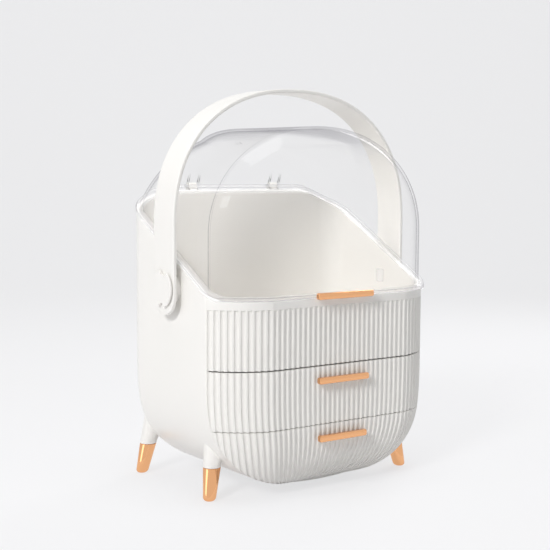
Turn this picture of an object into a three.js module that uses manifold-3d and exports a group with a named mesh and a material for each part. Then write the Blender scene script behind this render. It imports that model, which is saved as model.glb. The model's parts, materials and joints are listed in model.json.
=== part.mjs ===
// Dustproof makeup organizer: a white case on four splayed legs, with two drawers behind a
// fluted front, a clear vaulted lid hinged at the back and a flat bail handle over the top.
// Millimetres, +Z up, the front faces -Y. Inside this file the crests of the front flutes lie
// at y = 0 and the table at z = 0, and the whole object is centred in Y at the very end.
import * as THREE from 'three';
import { mergeVertices } from 'three/addons/utils/BufferGeometryUtils.js';
import Module from 'manifold-3d';

const wasm = await Module();
wasm.setup();

// Fits shared by all pieces
const gap = 0.3;            // between pieces that touch
const seamGap = 0.6;        // open joint between the fronts
const overrun = 2;          // how far a cutting tool passes the face it cuts
const degree = Math.PI / 180;

// Case
const halfWidth = 121.5;    // to the outside of the side walls
const caseDepth = 168;      // flute crests to the outside of the back wall
const caseWall = 2.5;
const rearCornerRadius = 24;
const bellyLift = 6;        // lowest point of the belly above the table
const shoulderHeight = 116.5;   // the sides are upright above this
const bellySideExponent = 3.1;  // how long the sides stay upright before they turn in
const bellyFlatExponent = 2.5;  // how flat the bottom of the section is
const rearTurnHeight = 60;  // the back turns under below this
const rearTurnDepth = 30;   // and ends this far forward of the back wall

// Levels of the front, from the table
const lowerSeam = 64.4;
const upperSeam = 116.5;
const fluteTop = 169;
const frontRim = 176;

// Front plan curve: a flat middle, a slight angle, then an arc to the side wall
const flutePitch = 5.5;
const cornerReach = 47.25;  // from the flat middle to the side wall
const middleHalfWidth = halfWidth - cornerReach;
const middleFlutes = Math.round(2 * middleHalfWidth / flutePitch);
const middlePitch = 2 * middleHalfWidth / middleFlutes;
const cornerFlutes = 10;    // on each side
const cornerRadius = 70.6;
const cornerStart = 9.9 * degree;
const fluteDepth = 1.5;
const frontSheet = 3.4;     // thickness of the front mouldings, crest to back
const turnUnderDepth = 40;  // how far the lower front runs back below the lower seam
const fluteCrestShare = 0.26;
const fluteFlankShare = 0.18;
const fluteConvergenceShare = 0.5;  // of the belly's narrowing that the flutes follow

// Rim that the lid closes on
const rimRiseStart = 23;    // distance behind the flute crests where the rim starts to rise
const rimSlope = 0.56;
const rimRearCrown = 9.8;   // extra height in the middle of the back wall
const crownHalfWidth = 76;
const crownFootInset = 6.5;
const crownFoot = halfWidth - crownFootInset;

// Ledges and plates inside
const ledgeWidth = 6;
const ledgeThickness = 2.4;
const plateThickness = 2.4;
const lipWidth = 8;         // inward lip along the bottom of the fixed front panel
const earLength = 14;       // ears of the fixed front panel inside the side walls
const earThickness = 2.2;

// Drawers
const trayWall = 2;
const trayFloor = 2;
const traySideClearance = 1.5;
const trayBackRoom = 25;    // from the tray to the outside of the back wall
const trayBack = caseDepth - trayBackRoom;
const trayCornerRadius = 16;
const upperTrayHeight = 45;
const lowerTrayBottom = 14.5;
const lowerTrayTop = 59.5;
const runnerWidth = 4;
const runnerSpacing = 70;
const runnerFront = 46;
const runnerEnd = 5;        // the runners stop this far in front of the tray's back
const runnerBack = trayBack - runnerEnd;

// Pull bars and their screws
const barHeight = 6;
const barDepth = 6;
const barRound = 2.2;
const lidBarLength = 62;
const upperBarLength = 56;
const lowerBarLength = 53;
const upperBarDrop = 12.5;  // from the seam above
const lowerBarDrop = 11.9;
const lidBarRise = 2.3;     // above the front rim
const upperBarLevel = upperSeam - upperBarDrop;
const lowerBarLevel = lowerSeam - lowerBarDrop;
const lidBarLevel = frontRim + lidBarRise;
const lidBarDepth = 5.2;
const pegRadius = 1;
const pegLength = 5;
const screwSpacing = 34;
const screwRadius = 1.3;
const screwHeadRadius = 2.8;
const screwHeadThickness = 1.8;
const screwGrip = 3.5;      // thread inside the bar

// Lid
const lidInset = 2.5;       // lid wall inside the case's outer faces
const lidWall = 2.2;
const lidSpringHeight = 231;    // the vault starts to turn in here
const lidTop = 325.6;
const lidExponent = 2.72;   // roundness of the vault's section at the back
const lidFrontExponent = 2.1;   // and of the arch at the front
const lidBaseDepth = 8;     // how far the vault is drawn below the front rim before it is cut
const lidRearTurn = 32;     // length of the rounding from the ridge to the rear rim
const lidRearExponent = 5;
const lidCornerGrowth = 1;  // extra radius of the rear corners for each millimetre upwards
const cornerLimitShare = 0.98;
const ridgeEndShare = 0.9985;   // of the vault's height at which the ridge is flat
const flangeThickness = 3.4;
const flangeOverhang = 2.6;
const flangeInnerWidth = 1.5;
const flangeRearRadius = 32;    // lets the handle's shoulders swing past

// Lid hinges
const hingeSpacing = 96;
const hingeBack = 5.5;      // axis behind the back wall
const hingeRise = 4;        // axis above the case's rear rim
const barrelRadius = 3.2;
const hingePinRadius = 1.2;
const knuckleLength = 9;
const earPlate = 2.5;       // thickness of each hinge ear on the lid
const hingeEarRise = 11;
const knuckleRoot = 17;     // height of the knuckle's foot on the back wall
const hingeSideClearance = 0.3;
const notchClearance = 0.5;

// Bail handle
const handleSideGap = 9.9;  // from the case's side to the outside of the strap
const handleHalfWidth = halfWidth + handleSideGap;
const handleTop = 360;
const handleSpringHeight = 239;
const handleExponent = 2.26;
const strapThickness = 3.6;
const strapWidth = 34;
const strapDrop = 6;        // centre of the strap's round end below the pivot
const pivotBehindFront = 85;
const pivotBelowRim = 27.72;
const pivotHeight = frontRim + rimSlope * (pivotBehindFront - rimRiseStart) - pivotBelowRim;
const pivotRadius = 5;
const pivotNeckRadius = 3;
const pivotNeckLength = 4.6;
const capRadius = 16.5;
const capThickness = 2.6;
const bossRadius = 13;
const retainerThickness = 3;
const retainerWidth = 12;
const retainerHeight = 13;

// Legs
const footSideInset = 11.5;
const footHalfSpacing = halfWidth - footSideInset;
const frontFoot = 44.4;     // behind the flute crests
const rearFootInset = 5;
const rearFoot = caseDepth - rearFootInset;
const capHeight = 28.5;
const capLeanX = 5;         // how far a cap's top lies further inwards than its foot
const capLeanY = 3.6;
const legLeanX = capLeanX / capHeight;
const legLeanY = capLeanY / capHeight;
const footRadius = 4.4;
const capFlare = 5.6;
const footChamfer = 1.4;
const capTopRadius = 7.8;
const legRootRadius = 9.3;
const legRootHeight = 60;
const spigotRadius = 4.4;
const spigotLength = 10;
const spigotSlack = 1.5;    // free depth under the spigot

// Facets
const arcSteps = 7;
const sectionSteps = 10;
const roundSteps = 24;
const turnSteps = 8;
const archSteps = 26;

// Materials
function finish(color, roughness, metalness = 0, opacity = 1) {
  return new THREE.MeshStandardMaterial({ color, roughness, metalness, opacity, transparent: opacity < 1 });
}
const whitePlastic = finish('#f3f1ee', 0.32);
const trayPlastic = finish('#efece8', 0.4);
const clearPlastic = finish('#f6f8f9', 0.06, 0, 0.25);
const gildedMetal = finish('#e3a368', 0.2, 1);
const steel = finish('#b9bbbd', 0.35, 1);

// Solids and meshes
function solid(geometry) {
  const bare = geometry.clone();
  bare.deleteAttribute('normal');
  bare.deleteAttribute('uv');
  const merged = mergeVertices(bare, 1e-4);
  return new wasm.Manifold(new wasm.Mesh({
    numProp: 3,
    vertProperties: new Float32Array(merged.attributes.position.array),
    triVerts: new Uint32Array(merged.index.array),
  }));
}

function piece(name, body, material) {
  const { numProp, vertProperties, triVerts } = body.getMesh();
  const geometry = new THREE.BufferGeometry();
  const vertices = new THREE.InterleavedBuffer(vertProperties, numProp);
  geometry.setAttribute('position', new THREE.InterleavedBufferAttribute(vertices, 3, 0));
  geometry.setIndex(new THREE.BufferAttribute(triVerts, 1));
  const plain = geometry.toNonIndexed();
  plain.computeVertexNormals();
  const mesh = new THREE.Mesh(plain, material);
  mesh.name = name;
  return mesh;
}

// Prisms whose outline lies across one axis. Outlines run anticlockwise seen from +Z, +X or -Y.
function prism(outline, length) {
  const shape = new THREE.Shape(outline.map(([u, v]) => new THREE.Vector2(u, v)));
  return new THREE.ExtrudeGeometry(shape, { depth: length, bevelEnabled: false });
}

function prismZ(outline, low, high) {
  return solid(prism(outline, high - low).translate(0, 0, low));
}

function prismX(outlineYZ, low, high) {
  const turn = new THREE.Matrix4().makeBasis(
    new THREE.Vector3(0, 1, 0), new THREE.Vector3(0, 0, 1), new THREE.Vector3(1, 0, 0));
  return solid(prism(outlineYZ, high - low).applyMatrix4(turn).translate(low, 0, 0));
}

function prismY(outlineXZ, low, high) {
  const turn = new THREE.Matrix4().makeBasis(
    new THREE.Vector3(1, 0, 0), new THREE.Vector3(0, 0, 1), new THREE.Vector3(0, -1, 0));
  return solid(prism(outlineXZ, high - low).applyMatrix4(turn).translate(0, high, 0));
}

function box(low, high) {
  const size = high.map((value, axis) => value - low[axis]);
  const middle = high.map((value, axis) => (value + low[axis]) / 2);
  return solid(new THREE.BoxGeometry(...size).translate(...middle));
}

function rodX(radius, low, high, y, z) {
  const rod = new THREE.CylinderGeometry(radius, radius, high - low, roundSteps);
  return solid(rod.rotateZ(-Math.PI / 2).translate((low + high) / 2, y, z));
}

function rodY(radius, low, high, x, z) {
  const rod = new THREE.CylinderGeometry(radius, radius, high - low, roundSteps);
  return solid(rod.translate(x, (low + high) / 2, z));
}

function union(...bodies) {
  return bodies.reduce((sum, body) => sum.add(body));
}

// A closed skin over level rings of equally many points, lowest ring first
function loft(rings) {
  const count = rings[0].length;
  const positions = rings.flat(2);
  const index = [];
  for (let r = 0; r < rings.length - 1; r++) {
    for (let i = 0; i < count; i++) {
      const next = (i + 1) % count;
      const [a, b] = [r * count + i, r * count + next];
      index.push(a, b, b + count, a, b + count, a + count);
    }
  }
  const cap = (ring, first, up) => {
    const flat = ring.map(([x, y]) => new THREE.Vector2(x, y));
    for (const [a, b, c] of THREE.ShapeUtils.triangulateShape(flat, [])) {
      index.push(first + a, first + (up ? b : c), first + (up ? c : b));
    }
  };
  cap(rings[0], 0, false);
  cap(rings[rings.length - 1], (rings.length - 1) * count, true);
  const geometry = new THREE.BufferGeometry();
  geometry.setAttribute('position', new THREE.Float32BufferAttribute(positions, 3));
  geometry.setIndex(index);
  return solid(geometry);
}

// Plan of the front: its flat end, the centre of the corner arc and the arc's angles, for a
// curve that lies `inset` inside the crests and stops `side` inside the side walls
const arcCentreX = middleHalfWidth - cornerRadius * Math.sin(cornerStart);
const arcCentreY = cornerRadius * Math.cos(cornerStart);

function frontArc(inset, side) {
  const radius = cornerRadius - inset;
  return {
    radius,
    start: Math.acos((arcCentreY - inset) / radius),
    end: Math.asin((halfWidth - side - arcCentreX) / radius),
  };
}

function arcPoint(radius, angle) {
  return [arcCentreX + radius * Math.sin(angle), arcCentreY - radius * Math.cos(angle)];
}

const partingY = arcPoint(cornerRadius, frontArc(0, 0).end)[1];

// The plain front curve from left to right
function frontCurve(inset, side) {
  const { radius, start, end } = frontArc(inset, side);
  const right = [];
  for (let i = 0; i <= arcSteps; i++) {
    right.push(arcPoint(radius, THREE.MathUtils.lerp(start, end, i / arcSteps)));
  }
  return [...right.map(([x, y]) => [-x, y]).reverse(), ...right];
}

// The closed plan: the front curve, the side walls and the rounded rear corners
function planOutline(inset, side, back, radius) {
  const corner = arcRing(halfWidth - side, caseDepth - back, radius);
  return [...frontCurve(inset, side), ...corner, ...corner.map(([x, y]) => [-x, y]).reverse()];
}

// The fluted front curve, from left to right, as [x, y] of the crest line and of the flutes
function flutedCurve() {
  const { start, end } = frontArc(0, 0);
  const at = (step, depth) => {
    const side = Math.sign(step) || 1;
    const beyond = Math.abs(step) - middleFlutes / 2;
    if (beyond <= 0) {
      return [step * middlePitch, depth];
    }
    const angle = THREE.MathUtils.lerp(start, end, beyond / cornerFlutes);
    const [x, y] = arcPoint(cornerRadius - depth, angle);
    return [side * x, y];
  };
  const first = -(middleFlutes / 2 + cornerFlutes);
  const points = [];
  for (let flute = 0; flute < middleFlutes + 2 * cornerFlutes; flute++) {
    const from = first + flute;
    const crestHalf = fluteCrestShare / 2;
    points.push(at(from + crestHalf, 0), at(from + crestHalf + fluteFlankShare, fluteDepth));
    points.push(at(from + 1 - crestHalf - fluteFlankShare, fluteDepth), at(from + 1 - crestHalf, 0));
  }
  const [x, y] = at(-first, 0);
  const right = [[x, y], [x + overrun * Math.cos(end), y + overrun * Math.sin(end)]];
  return [...right.map(([u, v]) => [-u, v]).reverse(), ...points, ...right];
}

// Section of the belly: half width at a height, and the whole U as an outline across Y
function bellyHalfWidth(z, inset = 0) {
  const low = bellyLift + inset;
  const share = Math.min(Math.max((shoulderHeight - z) / (shoulderHeight - low), 0), 1);
  return (halfWidth - inset) * (1 - share ** bellySideExponent) ** (1 / bellyFlatExponent);
}

// Distance from the outer faces to the inside of the side wall at a height
function wallSide(z) {
  return halfWidth - bellyHalfWidth(z, caseWall);
}

function bellyLevels(inset) {
  const levels = [];
  for (let i = sectionSteps; i >= 0; i--) {
    const drop = Math.sin(i / sectionSteps * Math.PI / 2) ** (2 / bellySideExponent);
    levels.push(shoulderHeight - (shoulderHeight - bellyLift - inset) * drop);
  }
  return levels;
}

function bellySection(inset) {
  const right = bellyLevels(inset).map((z) => [bellyHalfWidth(z, inset), z]);
  right.push([halfWidth - inset, handleTop]);
  return [...right, ...right.slice(1).reverse().map(([x, z]) => [-x, z])];
}

// How far the lower front and the lower back have turned under at a height
function turnUnder(z, from, depth, inset = 0) {
  const share = Math.min(Math.max((from - z) / (from - bellyLift - inset), 0), 1);
  return depth * (1 - Math.sqrt(1 - share * share));
}

function turnLevels(from, inset = 0) {
  const levels = [];
  for (let i = turnSteps; i >= 0; i--) {
    const angle = i / turnSteps * Math.PI / 2;
    levels.push(from - (from - bellyLift - inset) * Math.sin(angle));
  }
  return levels;
}

// Height of the case's rim over the plan, and solids above it or in a band along it
function rimHeight(x, y) {
  const slope = frontRim + rimSlope * Math.max(y - rimRiseStart, 0);
  const share = THREE.MathUtils.smoothstep(crownFoot - Math.abs(x), 0, crownFoot - crownHalfWidth);
  return slope + (y > pivotBehindFront ? rimRearCrown * share : 0);
}

const rimStationsX = [];
const crownShares = [0, 0.2, 0.4, 0.6, 0.8, 1];
for (const share of crownShares) {
  rimStationsX.push(THREE.MathUtils.lerp(crownHalfWidth, crownFoot, share));
}
rimStationsX.push(halfWidth + strapWidth);
rimStationsX.unshift(...rimStationsX.map((x) => -x).reverse());
const crownStart = [pivotBehindFront - overrun, pivotBehindFront + overrun];
const rimStationsY = [-strapWidth, rimRiseStart, ...crownStart, caseDepth + strapWidth];

function rimBand(low, high) {
  const rows = rimStationsY.length;
  const columns = rimStationsX.length;
  const positions = [];
  for (const rise of [low, high]) {
    for (const x of rimStationsX) {
      for (const y of rimStationsY) {
        positions.push(x, y, rimHeight(x, y) + rise);
      }
    }
  }
  const index = [];
  const quad = (a, b, c, d) => index.push(a, b, c, a, c, d);
  const top = rows * columns;
  for (let i = 0; i < columns - 1; i++) {
    for (let j = 0; j < rows - 1; j++) {
      const [a, b] = [i * rows + j, (i + 1) * rows + j];
      const [c, d] = [b + 1, a + 1];
      quad(top + a, top + b, top + c, top + d);
      index.push(a, c, b, a, d, c);
    }
  }
  for (let i = 0; i < columns - 1; i++) {
    const [a, b] = [i * rows, (i + 1) * rows];
    quad(a, b, top + b, top + a);
    quad(b + rows - 1, a + rows - 1, top + a + rows - 1, top + b + rows - 1);
  }
  for (let j = 0; j < rows - 1; j++) {
    const last = (columns - 1) * rows + j;
    quad(last, last + 1, top + last + 1, top + last);
    quad(j + 1, j, top + j, top + j + 1);
  }
  const geometry = new THREE.BufferGeometry();
  geometry.setAttribute('position', new THREE.Float32BufferAttribute(positions, 3));
  geometry.setIndex(index);
  return solid(geometry);
}

// Case

// The body behind the parting line, `inset` inside the outer faces and open-ended in front
function caseHull(inset, front, top) {
  const rings = [...bellyLevels(inset), top].map((z) => {
    const level = Math.max(z, bellyLift + inset + gap);
    const half = bellyHalfWidth(level, inset);
    const rear = caseDepth - inset - turnUnder(level, rearTurnHeight, rearTurnDepth, inset);
    const radius = Math.min(rearCornerRadius - inset, half * rearCornerRadius / halfWidth * 2);
    const right = [[half, front], ...arcRing(half, rear, radius)];
    return [...right, ...right.map(([x, y]) => [-x, y]).reverse()].map(([x, y]) => [x, y, level]);
  });
  return loft(rings);
}

const rearRim = rimHeight(0, caseDepth);
const hingeY = caseDepth + hingeBack;
const hingeZ = rearRim + hingeRise;
const pivotInner = handleHalfWidth - strapThickness;

// A leg is a cone that leans inwards as it rises, with its foot level
function lean(geometry, x, y) {
  const kx = -Math.sign(x) * legLeanX;
  const ky = (y < caseDepth / 2 ? 1 : -1) * legLeanY;
  const shear = new THREE.Matrix4().set(1, 0, kx, x, 0, 1, ky, y, 0, 0, 1, 0, 0, 0, 0, 1);
  return solid(geometry.applyMatrix4(shear));
}

function lathe(profile) {
  const points = profile.map(([radius, z]) => new THREE.Vector2(radius, z));
  return new THREE.LatheGeometry(points, roundSteps).rotateX(Math.PI / 2);
}

const footPlaces = {
  front_left: [-footHalfSpacing, frontFoot],
  front_right: [footHalfSpacing, frontFoot],
  rear_left: [-footHalfSpacing, rearFoot],
  rear_right: [footHalfSpacing, rearFoot],
};
const spigotEnd = capHeight - spigotLength;

function legRoot([x, y]) {
  return lean(lathe([
    [0, spigotEnd], [spigotRadius, spigotEnd], [spigotRadius, capHeight + gap],
    [capTopRadius, capHeight + gap], [legRootRadius, legRootHeight], [0, legRootHeight],
  ]), x, y);
}

function footCap([x, y]) {
  const hole = spigotRadius + gap;
  return lean(lathe([
    [0, 0], [footRadius, 0], [capFlare, footChamfer], [capTopRadius, capHeight],
    [hole, capHeight], [hole, spigotEnd - spigotSlack], [0, spigotEnd - spigotSlack],
  ]), x, y);
}

function ring(outer, inner, low, high) {
  return prismZ(outer, low, high).subtract(prismZ(inner, low - overrun, high + overrun));
}

// White knuckle behind the back wall that carries the lid's hinge pin
function knuckle(x) {
  const outline = [[caseDepth - caseWall / 2, rearRim - knuckleRoot]];
  const arm = hingeY + barrelRadius;
  outline.push([arm, rearRim - hingeRise]);
  for (let i = 0; i <= arcSteps; i++) {
    const angle = i / arcSteps * Math.PI;
    outline.push([hingeY + barrelRadius * Math.cos(angle), hingeZ + barrelRadius * Math.sin(angle)]);
  }
  outline.push([hingeY - barrelRadius, rearRim - gap], [caseDepth - caseWall / 2, rearRim - gap]);
  const half = knuckleLength / 2;
  return prismX(outline, x - half, x + half)
    .subtract(rodX(hingePinRadius + gap, x - half - overrun, x + half + overrun, hingeY, hingeZ));
}

function caseShell() {
  const top = rearRim + overrun;
  const outer = caseHull(0, partingY, top);
  const inner = caseHull(caseWall, partingY - overrun, top + overrun);
  const roots = Object.values(footPlaces).map(legRoot);
  const sides = [-1, 1];
  const bosses = sides.map((side) => rodX(bossRadius,
    ...between(side, halfWidth - caseWall / 2, pivotInner - gap), pivotBehindFront, pivotHeight));
  const shell = union(outer, ...roots, ...bosses).subtract(inner);
  const span = caseWall / 2;
  const ledges = [lowerSeam - gap - ledgeThickness, upperSeam + gap].map((low) => ring(
    planOutline(span, span, span, rearCornerRadius - span),
    planOutline(ledgeWidth, wallSide(low) + ledgeWidth, caseWall + ledgeWidth,
      rearCornerRadius - ledgeWidth),
    low, low + ledgeThickness)
    .intersect(outer));
  const runners = sides.map((side) => {
    const middle = side * runnerSpacing / 2;
    const top = lowerTrayBottom - gap;
    return box([middle - runnerWidth / 2, runnerFront, bellyLift],
      [middle + runnerWidth / 2, runnerBack, top]).intersect(outer);
  });
  const knuckles = sides.map((side) => knuckle(side * hingeSpacing / 2));
  const above = rimBand(0, handleTop);
  const holes = sides.map((side) => rodX(pivotRadius + gap, ...between(side, halfWidth - caseWall - overrun,
    pivotInner + overrun), pivotBehindFront, pivotHeight));
  return union(shell, ...ledges, ...runners).subtract(above)
    .add(union(...knuckles)).subtract(union(...holes));
}

// Two distances from the middle as low and high x on the left or the right side
function between(side, near, far) {
  return side < 0 ? [-far, -near] : [near, far];
}

// Front mouldings

// The fluted block between two heights, and the plain one `inset` behind its crests
function flutedBlock(levels) {
  const curve = flutedCurve();
  return loft(levels.map((z) => frontRing(curve, z, 0)));
}

function plainBlock(levels, inset, side) {
  const curve = frontCurve(inset, side);
  const last = curve[curve.length - 1];
  const slope = Math.tan(frontArc(inset, side).end);
  const out = [last[0] + overrun, last[1] + overrun * slope];
  return loft(levels.map((z) => frontRing([[-out[0], out[1]], ...curve, out], z, inset)));
}

function frontRing(curve, z, inset) {
  const narrowing = 1 - bellyHalfWidth(z) / halfWidth;
  const scale = 1 - fluteConvergenceShare * narrowing;
  const back = turnUnder(z, lowerSeam, turnUnderDepth, inset);
  const front = curve.map(([x, y]) => [x * scale, y + back, z]);
  const edge = front[front.length - 1][0];
  const rear = caseDepth + overrun;
  return [...front, [edge, rear, z], [-edge, rear, z]];
}

// Everything in front of the parting line between two heights, as a sheet of even thickness
function frontSolid(levels, innerLevels) {
  const [low, high] = [levels[0], levels[levels.length - 1]];
  const reach = box([-handleHalfWidth, -overrun, low], [handleHalfWidth, partingY - gap, high]);
  const outer = flutedBlock(levels).intersect(prismY(bellySection(0), -overrun, partingY));
  const inner = plainBlock(innerLevels, frontSheet, caseWall)
    .intersect(prismY(bellySection(caseWall), -overrun, partingY + overrun));
  return outer.intersect(reach).subtract(inner);
}

function upperFrontPanel() {
  const low = upperSeam + seamGap / 2;
  const high = frontRim + rimSlope * (partingY - rimRiseStart);
  const fluted = frontSolid([low, fluteTop], [low - overrun, fluteTop + overrun]);
  const band = prismZ(planOutline(0, 0, 0, rearCornerRadius), fluteTop, high)
    .subtract(prismZ(planOutline(frontSheet, caseWall, caseWall, rearCornerRadius - caseWall),
      fluteTop - overrun, high + overrun))
    .intersect(box([-handleHalfWidth, -overrun, fluteTop], [handleHalfWidth, partingY - gap, high]))
    .subtract(rimBand(0, handleTop));
  const lip = ring(planOutline(frontSheet - gap, caseWall, caseWall, rearCornerRadius),
    planOutline(frontSheet + lipWidth, caseWall + lipWidth, caseWall, rearCornerRadius),
    low, low + ledgeThickness)
    .intersect(box([-handleHalfWidth, 0, low], [handleHalfWidth, partingY - gap, low + ledgeThickness]));
  const ears = [-1, 1].map((side) => {
    const outside = halfWidth - caseWall - gap;
    const [near, far] = between(side, outside - earThickness, outside);
    return box([near, partingY - lipWidth / 2, low + ledgeThickness + plateThickness + 2 * gap],
      [far, partingY + earLength, fluteTop]);
  });
  return union(fluted, band, lip, ...ears);
}

function plate(low) {
  const inset = caseWall + gap;
  return prismZ(planOutline(frontSheet + gap, wallSide(low) + gap, inset, rearCornerRadius - caseWall),
    low, low + plateThickness);
}

// Levels of the two drawer fronts, of their outside and of a surface `inset` behind it
const upperLow = lowerSeam + seamGap / 2;
const upperHigh = upperSeam - seamGap / 2;
const lowerHigh = lowerSeam - seamGap / 2;

function upperLevels(reach = 0) {
  const middle = bellyLevels(0).filter((z) => z > upperLow + overrun && z < upperHigh - overrun);
  return [upperLow - reach, ...middle, upperHigh + reach];
}

function lowerLevels(inset = 0, reach = 0) {
  return [...turnLevels(lowerSeam, inset).slice(0, -1), lowerHigh + reach];
}

// Drawers
function tray(low, high, levels) {
  const side = caseWall + traySideClearance;
  const front = frontSheet + gap;
  const back = caseDepth - trayBack;
  const outer = prismZ(planOutline(front, side, back, trayCornerRadius), low, high);
  const pocket = prismZ(planOutline(front + trayWall, side + trayWall, back + trayWall,
    trayCornerRadius - trayWall), low + trayFloor, high + overrun);
  const outside = prismY(bellySection(side), -overrun, caseDepth)
    .intersect(plainBlock(levels(front), front, caseWall));
  const inside = prismY(bellySection(side + trayWall), -overrun, caseDepth)
    .intersect(plainBlock(levels(front + trayWall), front + trayWall, caseWall));
  return outer.intersect(outside).subtract(pocket.intersect(inside));
}

function bar(length, level, back, depth) {
  const round = Math.min(barRound, depth / 2);
  const half = barHeight / 2;
  const outline = [[back, level - half], [back, level + half]];
  for (let i = 0; i <= arcSteps; i++) {
    const angle = i / arcSteps * Math.PI / 2;
    const [u, v] = [round * Math.sin(angle), round * Math.cos(angle)];
    outline.push([back - depth + round - u, level + half - round + v]);
  }
  for (let i = 0; i <= arcSteps; i++) {
    const angle = i / arcSteps * Math.PI / 2;
    const [u, v] = [round * Math.cos(angle), round * Math.sin(angle)];
    outline.push([back - depth + round - u, level - half + round - v]);
  }
  return prismX(outline.reverse(), -length / 2, length / 2);
}

function drawer(prefix, level, length, front, trayBody) {
  const setback = (z) => turnUnder(z, lowerSeam, turnUnderDepth);
  const barBack = setback(level + barHeight / 2) - gap;
  const headFace = frontSheet + trayWall + setback(level - screwHeadRadius) + 3 * gap;
  const places = [[`${prefix}_screw_left`, -screwSpacing / 2], [`${prefix}_screw_right`, screwSpacing / 2]];
  const tip = barBack - screwGrip;
  const bores = places.map(([, x]) => rodY(screwRadius + gap, tip - gap, headFace + overrun, x, level));
  const drilled = (body) => body.subtract(union(...bores));
  const screws = places.map(([name, x]) => piece(name, union(
    rodY(screwRadius, tip, headFace + screwHeadThickness / 2, x, level),
    rodY(screwHeadRadius, headFace, headFace + screwHeadThickness, x, level)), steel));
  return [
    piece(`${prefix}_front`, drilled(front), whitePlastic),
    piece(`${prefix}_tray`, drilled(trayBody), trayPlastic),
    piece(`${prefix}_bar`, drilled(bar(length, level, barBack, barDepth)), gildedMetal),
    ...screws,
  ];
}

// Lid

// The vault, `inset` inside the lid's outer faces. An arch stands over the parting plane. The
// front wall bows forward from it to the plan curve, and the rear corners grow rounder upwards.
function vault(inset) {
  const side = lidInset + inset;
  const half = halfWidth - side;
  const rear = caseDepth - side;
  const top = lidTop - inset;
  const corner = rearCornerRadius - side;
  const front = frontCurve(side, side);
  const edge = front[0][1];
  const level = (z, share) => {
    const bow = (1 - share ** lidFrontExponent) ** (1 / lidFrontExponent);
    const width = half * (1 - share ** lidExponent) ** (1 / lidExponent);
    const turn = Math.max((z - rearRim) / (top - rearRim), 0) ** lidRearExponent;
    const back = rear - lidRearTurn * (1 - (1 - turn * ridgeEndShare) ** (1 / lidRearExponent));
    const growth = Math.max(z - rearRim + rimRearCrown, 0) * lidCornerGrowth;
    const radius = Math.min(corner + growth, width * cornerLimitShare);
    const arch = front.map(([x, y]) => [x * bow, edge - (edge - y) * bow]);
    const right = arcRing(width, back, radius);
    return [...arch, ...right, ...right.map(([x, y]) => [-x, y]).reverse()].map(([x, y]) => [x, y, z]);
  };
  const rings = [level(frontRim - lidBaseDepth, 0), level(lidSpringHeight, 0)];
  for (let i = 1; i < archSteps / 2; i++) {
    const share = Math.sin(i / archSteps * Math.PI) ** (2 / lidExponent);
    rings.push(level(lidSpringHeight + (top - lidSpringHeight) * share, share));
  }
  rings.push(level(top, ridgeEndShare));
  return loft(rings);
}

// Quarter circle of a rear corner
function arcRing(half, rear, radius) {
  const points = [];
  for (let i = 0; i <= arcSteps; i++) {
    const angle = i / arcSteps * Math.PI / 2;
    points.push([half - radius + radius * Math.cos(angle), rear - radius + radius * Math.sin(angle)]);
  }
  return points;
}

// Upper half of a superellipse from +half to -half
function archPoints(half, spring, top, exponent) {
  const points = [];
  for (let i = 0; i <= archSteps; i++) {
    const angle = i / archSteps * Math.PI;
    const [c, s] = [Math.cos(angle), Math.sin(angle)];
    points.push([
      half * Math.sign(c) * Math.abs(c) ** (2 / exponent),
      spring + (top - spring) * Math.abs(s) ** (2 / exponent),
    ]);
  }
  return points;
}

function lidShell() {
  const shell = vault(0).subtract(vault(lidWall)).intersect(rimBand(gap, handleTop));
  const out = -flangeOverhang;
  const inner = lidInset + lidWall + flangeInnerWidth;
  const flange = ring(planOutline(out, out, out, flangeRearRadius),
    planOutline(inner, inner, inner, rearCornerRadius - inner), bellyLift, lidTop)
    .intersect(rimBand(gap, gap + flangeThickness));
  const sides = [-1, 1];
  const reach = knuckleLength / 2 + hingeSideClearance;
  const notches = sides.map((side) => box(
    [side * hingeSpacing / 2 - reach, caseDepth - caseWall / 2 - notchClearance, rearRim - overrun],
    [side * hingeSpacing / 2 + reach, hingeY + overrun, rearRim + hingeEarRise + overrun]));
  const ears = sides.flatMap((side) => [-1, 1].map((end) => {
    const near = side * hingeSpacing / 2 + end * reach;
    return hingeEar(Math.min(near, near + end * earPlate), Math.max(near, near + end * earPlate));
  }));
  const pegs = sides.map((side) => rodY(pegRadius + gap, -flangeOverhang - overrun,
    -flangeOverhang - gap + pegLength + gap, side * screwSpacing / 2, lidBarLevel));
  return union(shell, flange).subtract(union(...notches)).add(union(...ears)).subtract(union(...pegs));
}

// One of the two plates of the lid that hold a hinge pin
function hingeEar(low, high) {
  const foot = rearRim + gap;
  const front = caseDepth - lidInset - lidWall / 2;
  const outline = [[front, foot], [hingeY - barrelRadius, foot]];
  for (let i = 0; i <= arcSteps; i++) {
    const angle = Math.PI + i / arcSteps * Math.PI;
    outline.push([hingeY + barrelRadius * Math.cos(angle), hingeZ + barrelRadius * Math.sin(angle)]);
  }
  outline.push([hingeY, hingeZ + barrelRadius], [front + barrelRadius, foot + hingeEarRise],
    [front, foot + hingeEarRise]);
  return prismX(outline, low, high)
    .subtract(rodX(hingePinRadius + gap, low - overrun, high + overrun, hingeY, hingeZ));
}

function lidBar() {
  const back = -flangeOverhang - gap;
  const pegs = [-1, 1].map((side) => rodY(pegRadius, back - lidBarDepth / 2, back + pegLength,
    side * screwSpacing / 2, lidBarLevel));
  return union(bar(lidBarLength, lidBarLevel, back, lidBarDepth), ...pegs);
}

function hingePin(x) {
  const half = knuckleLength / 2 + hingeSideClearance + earPlate;
  return rodX(hingePinRadius, x - half, x + half, hingeY, hingeZ);
}

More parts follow.
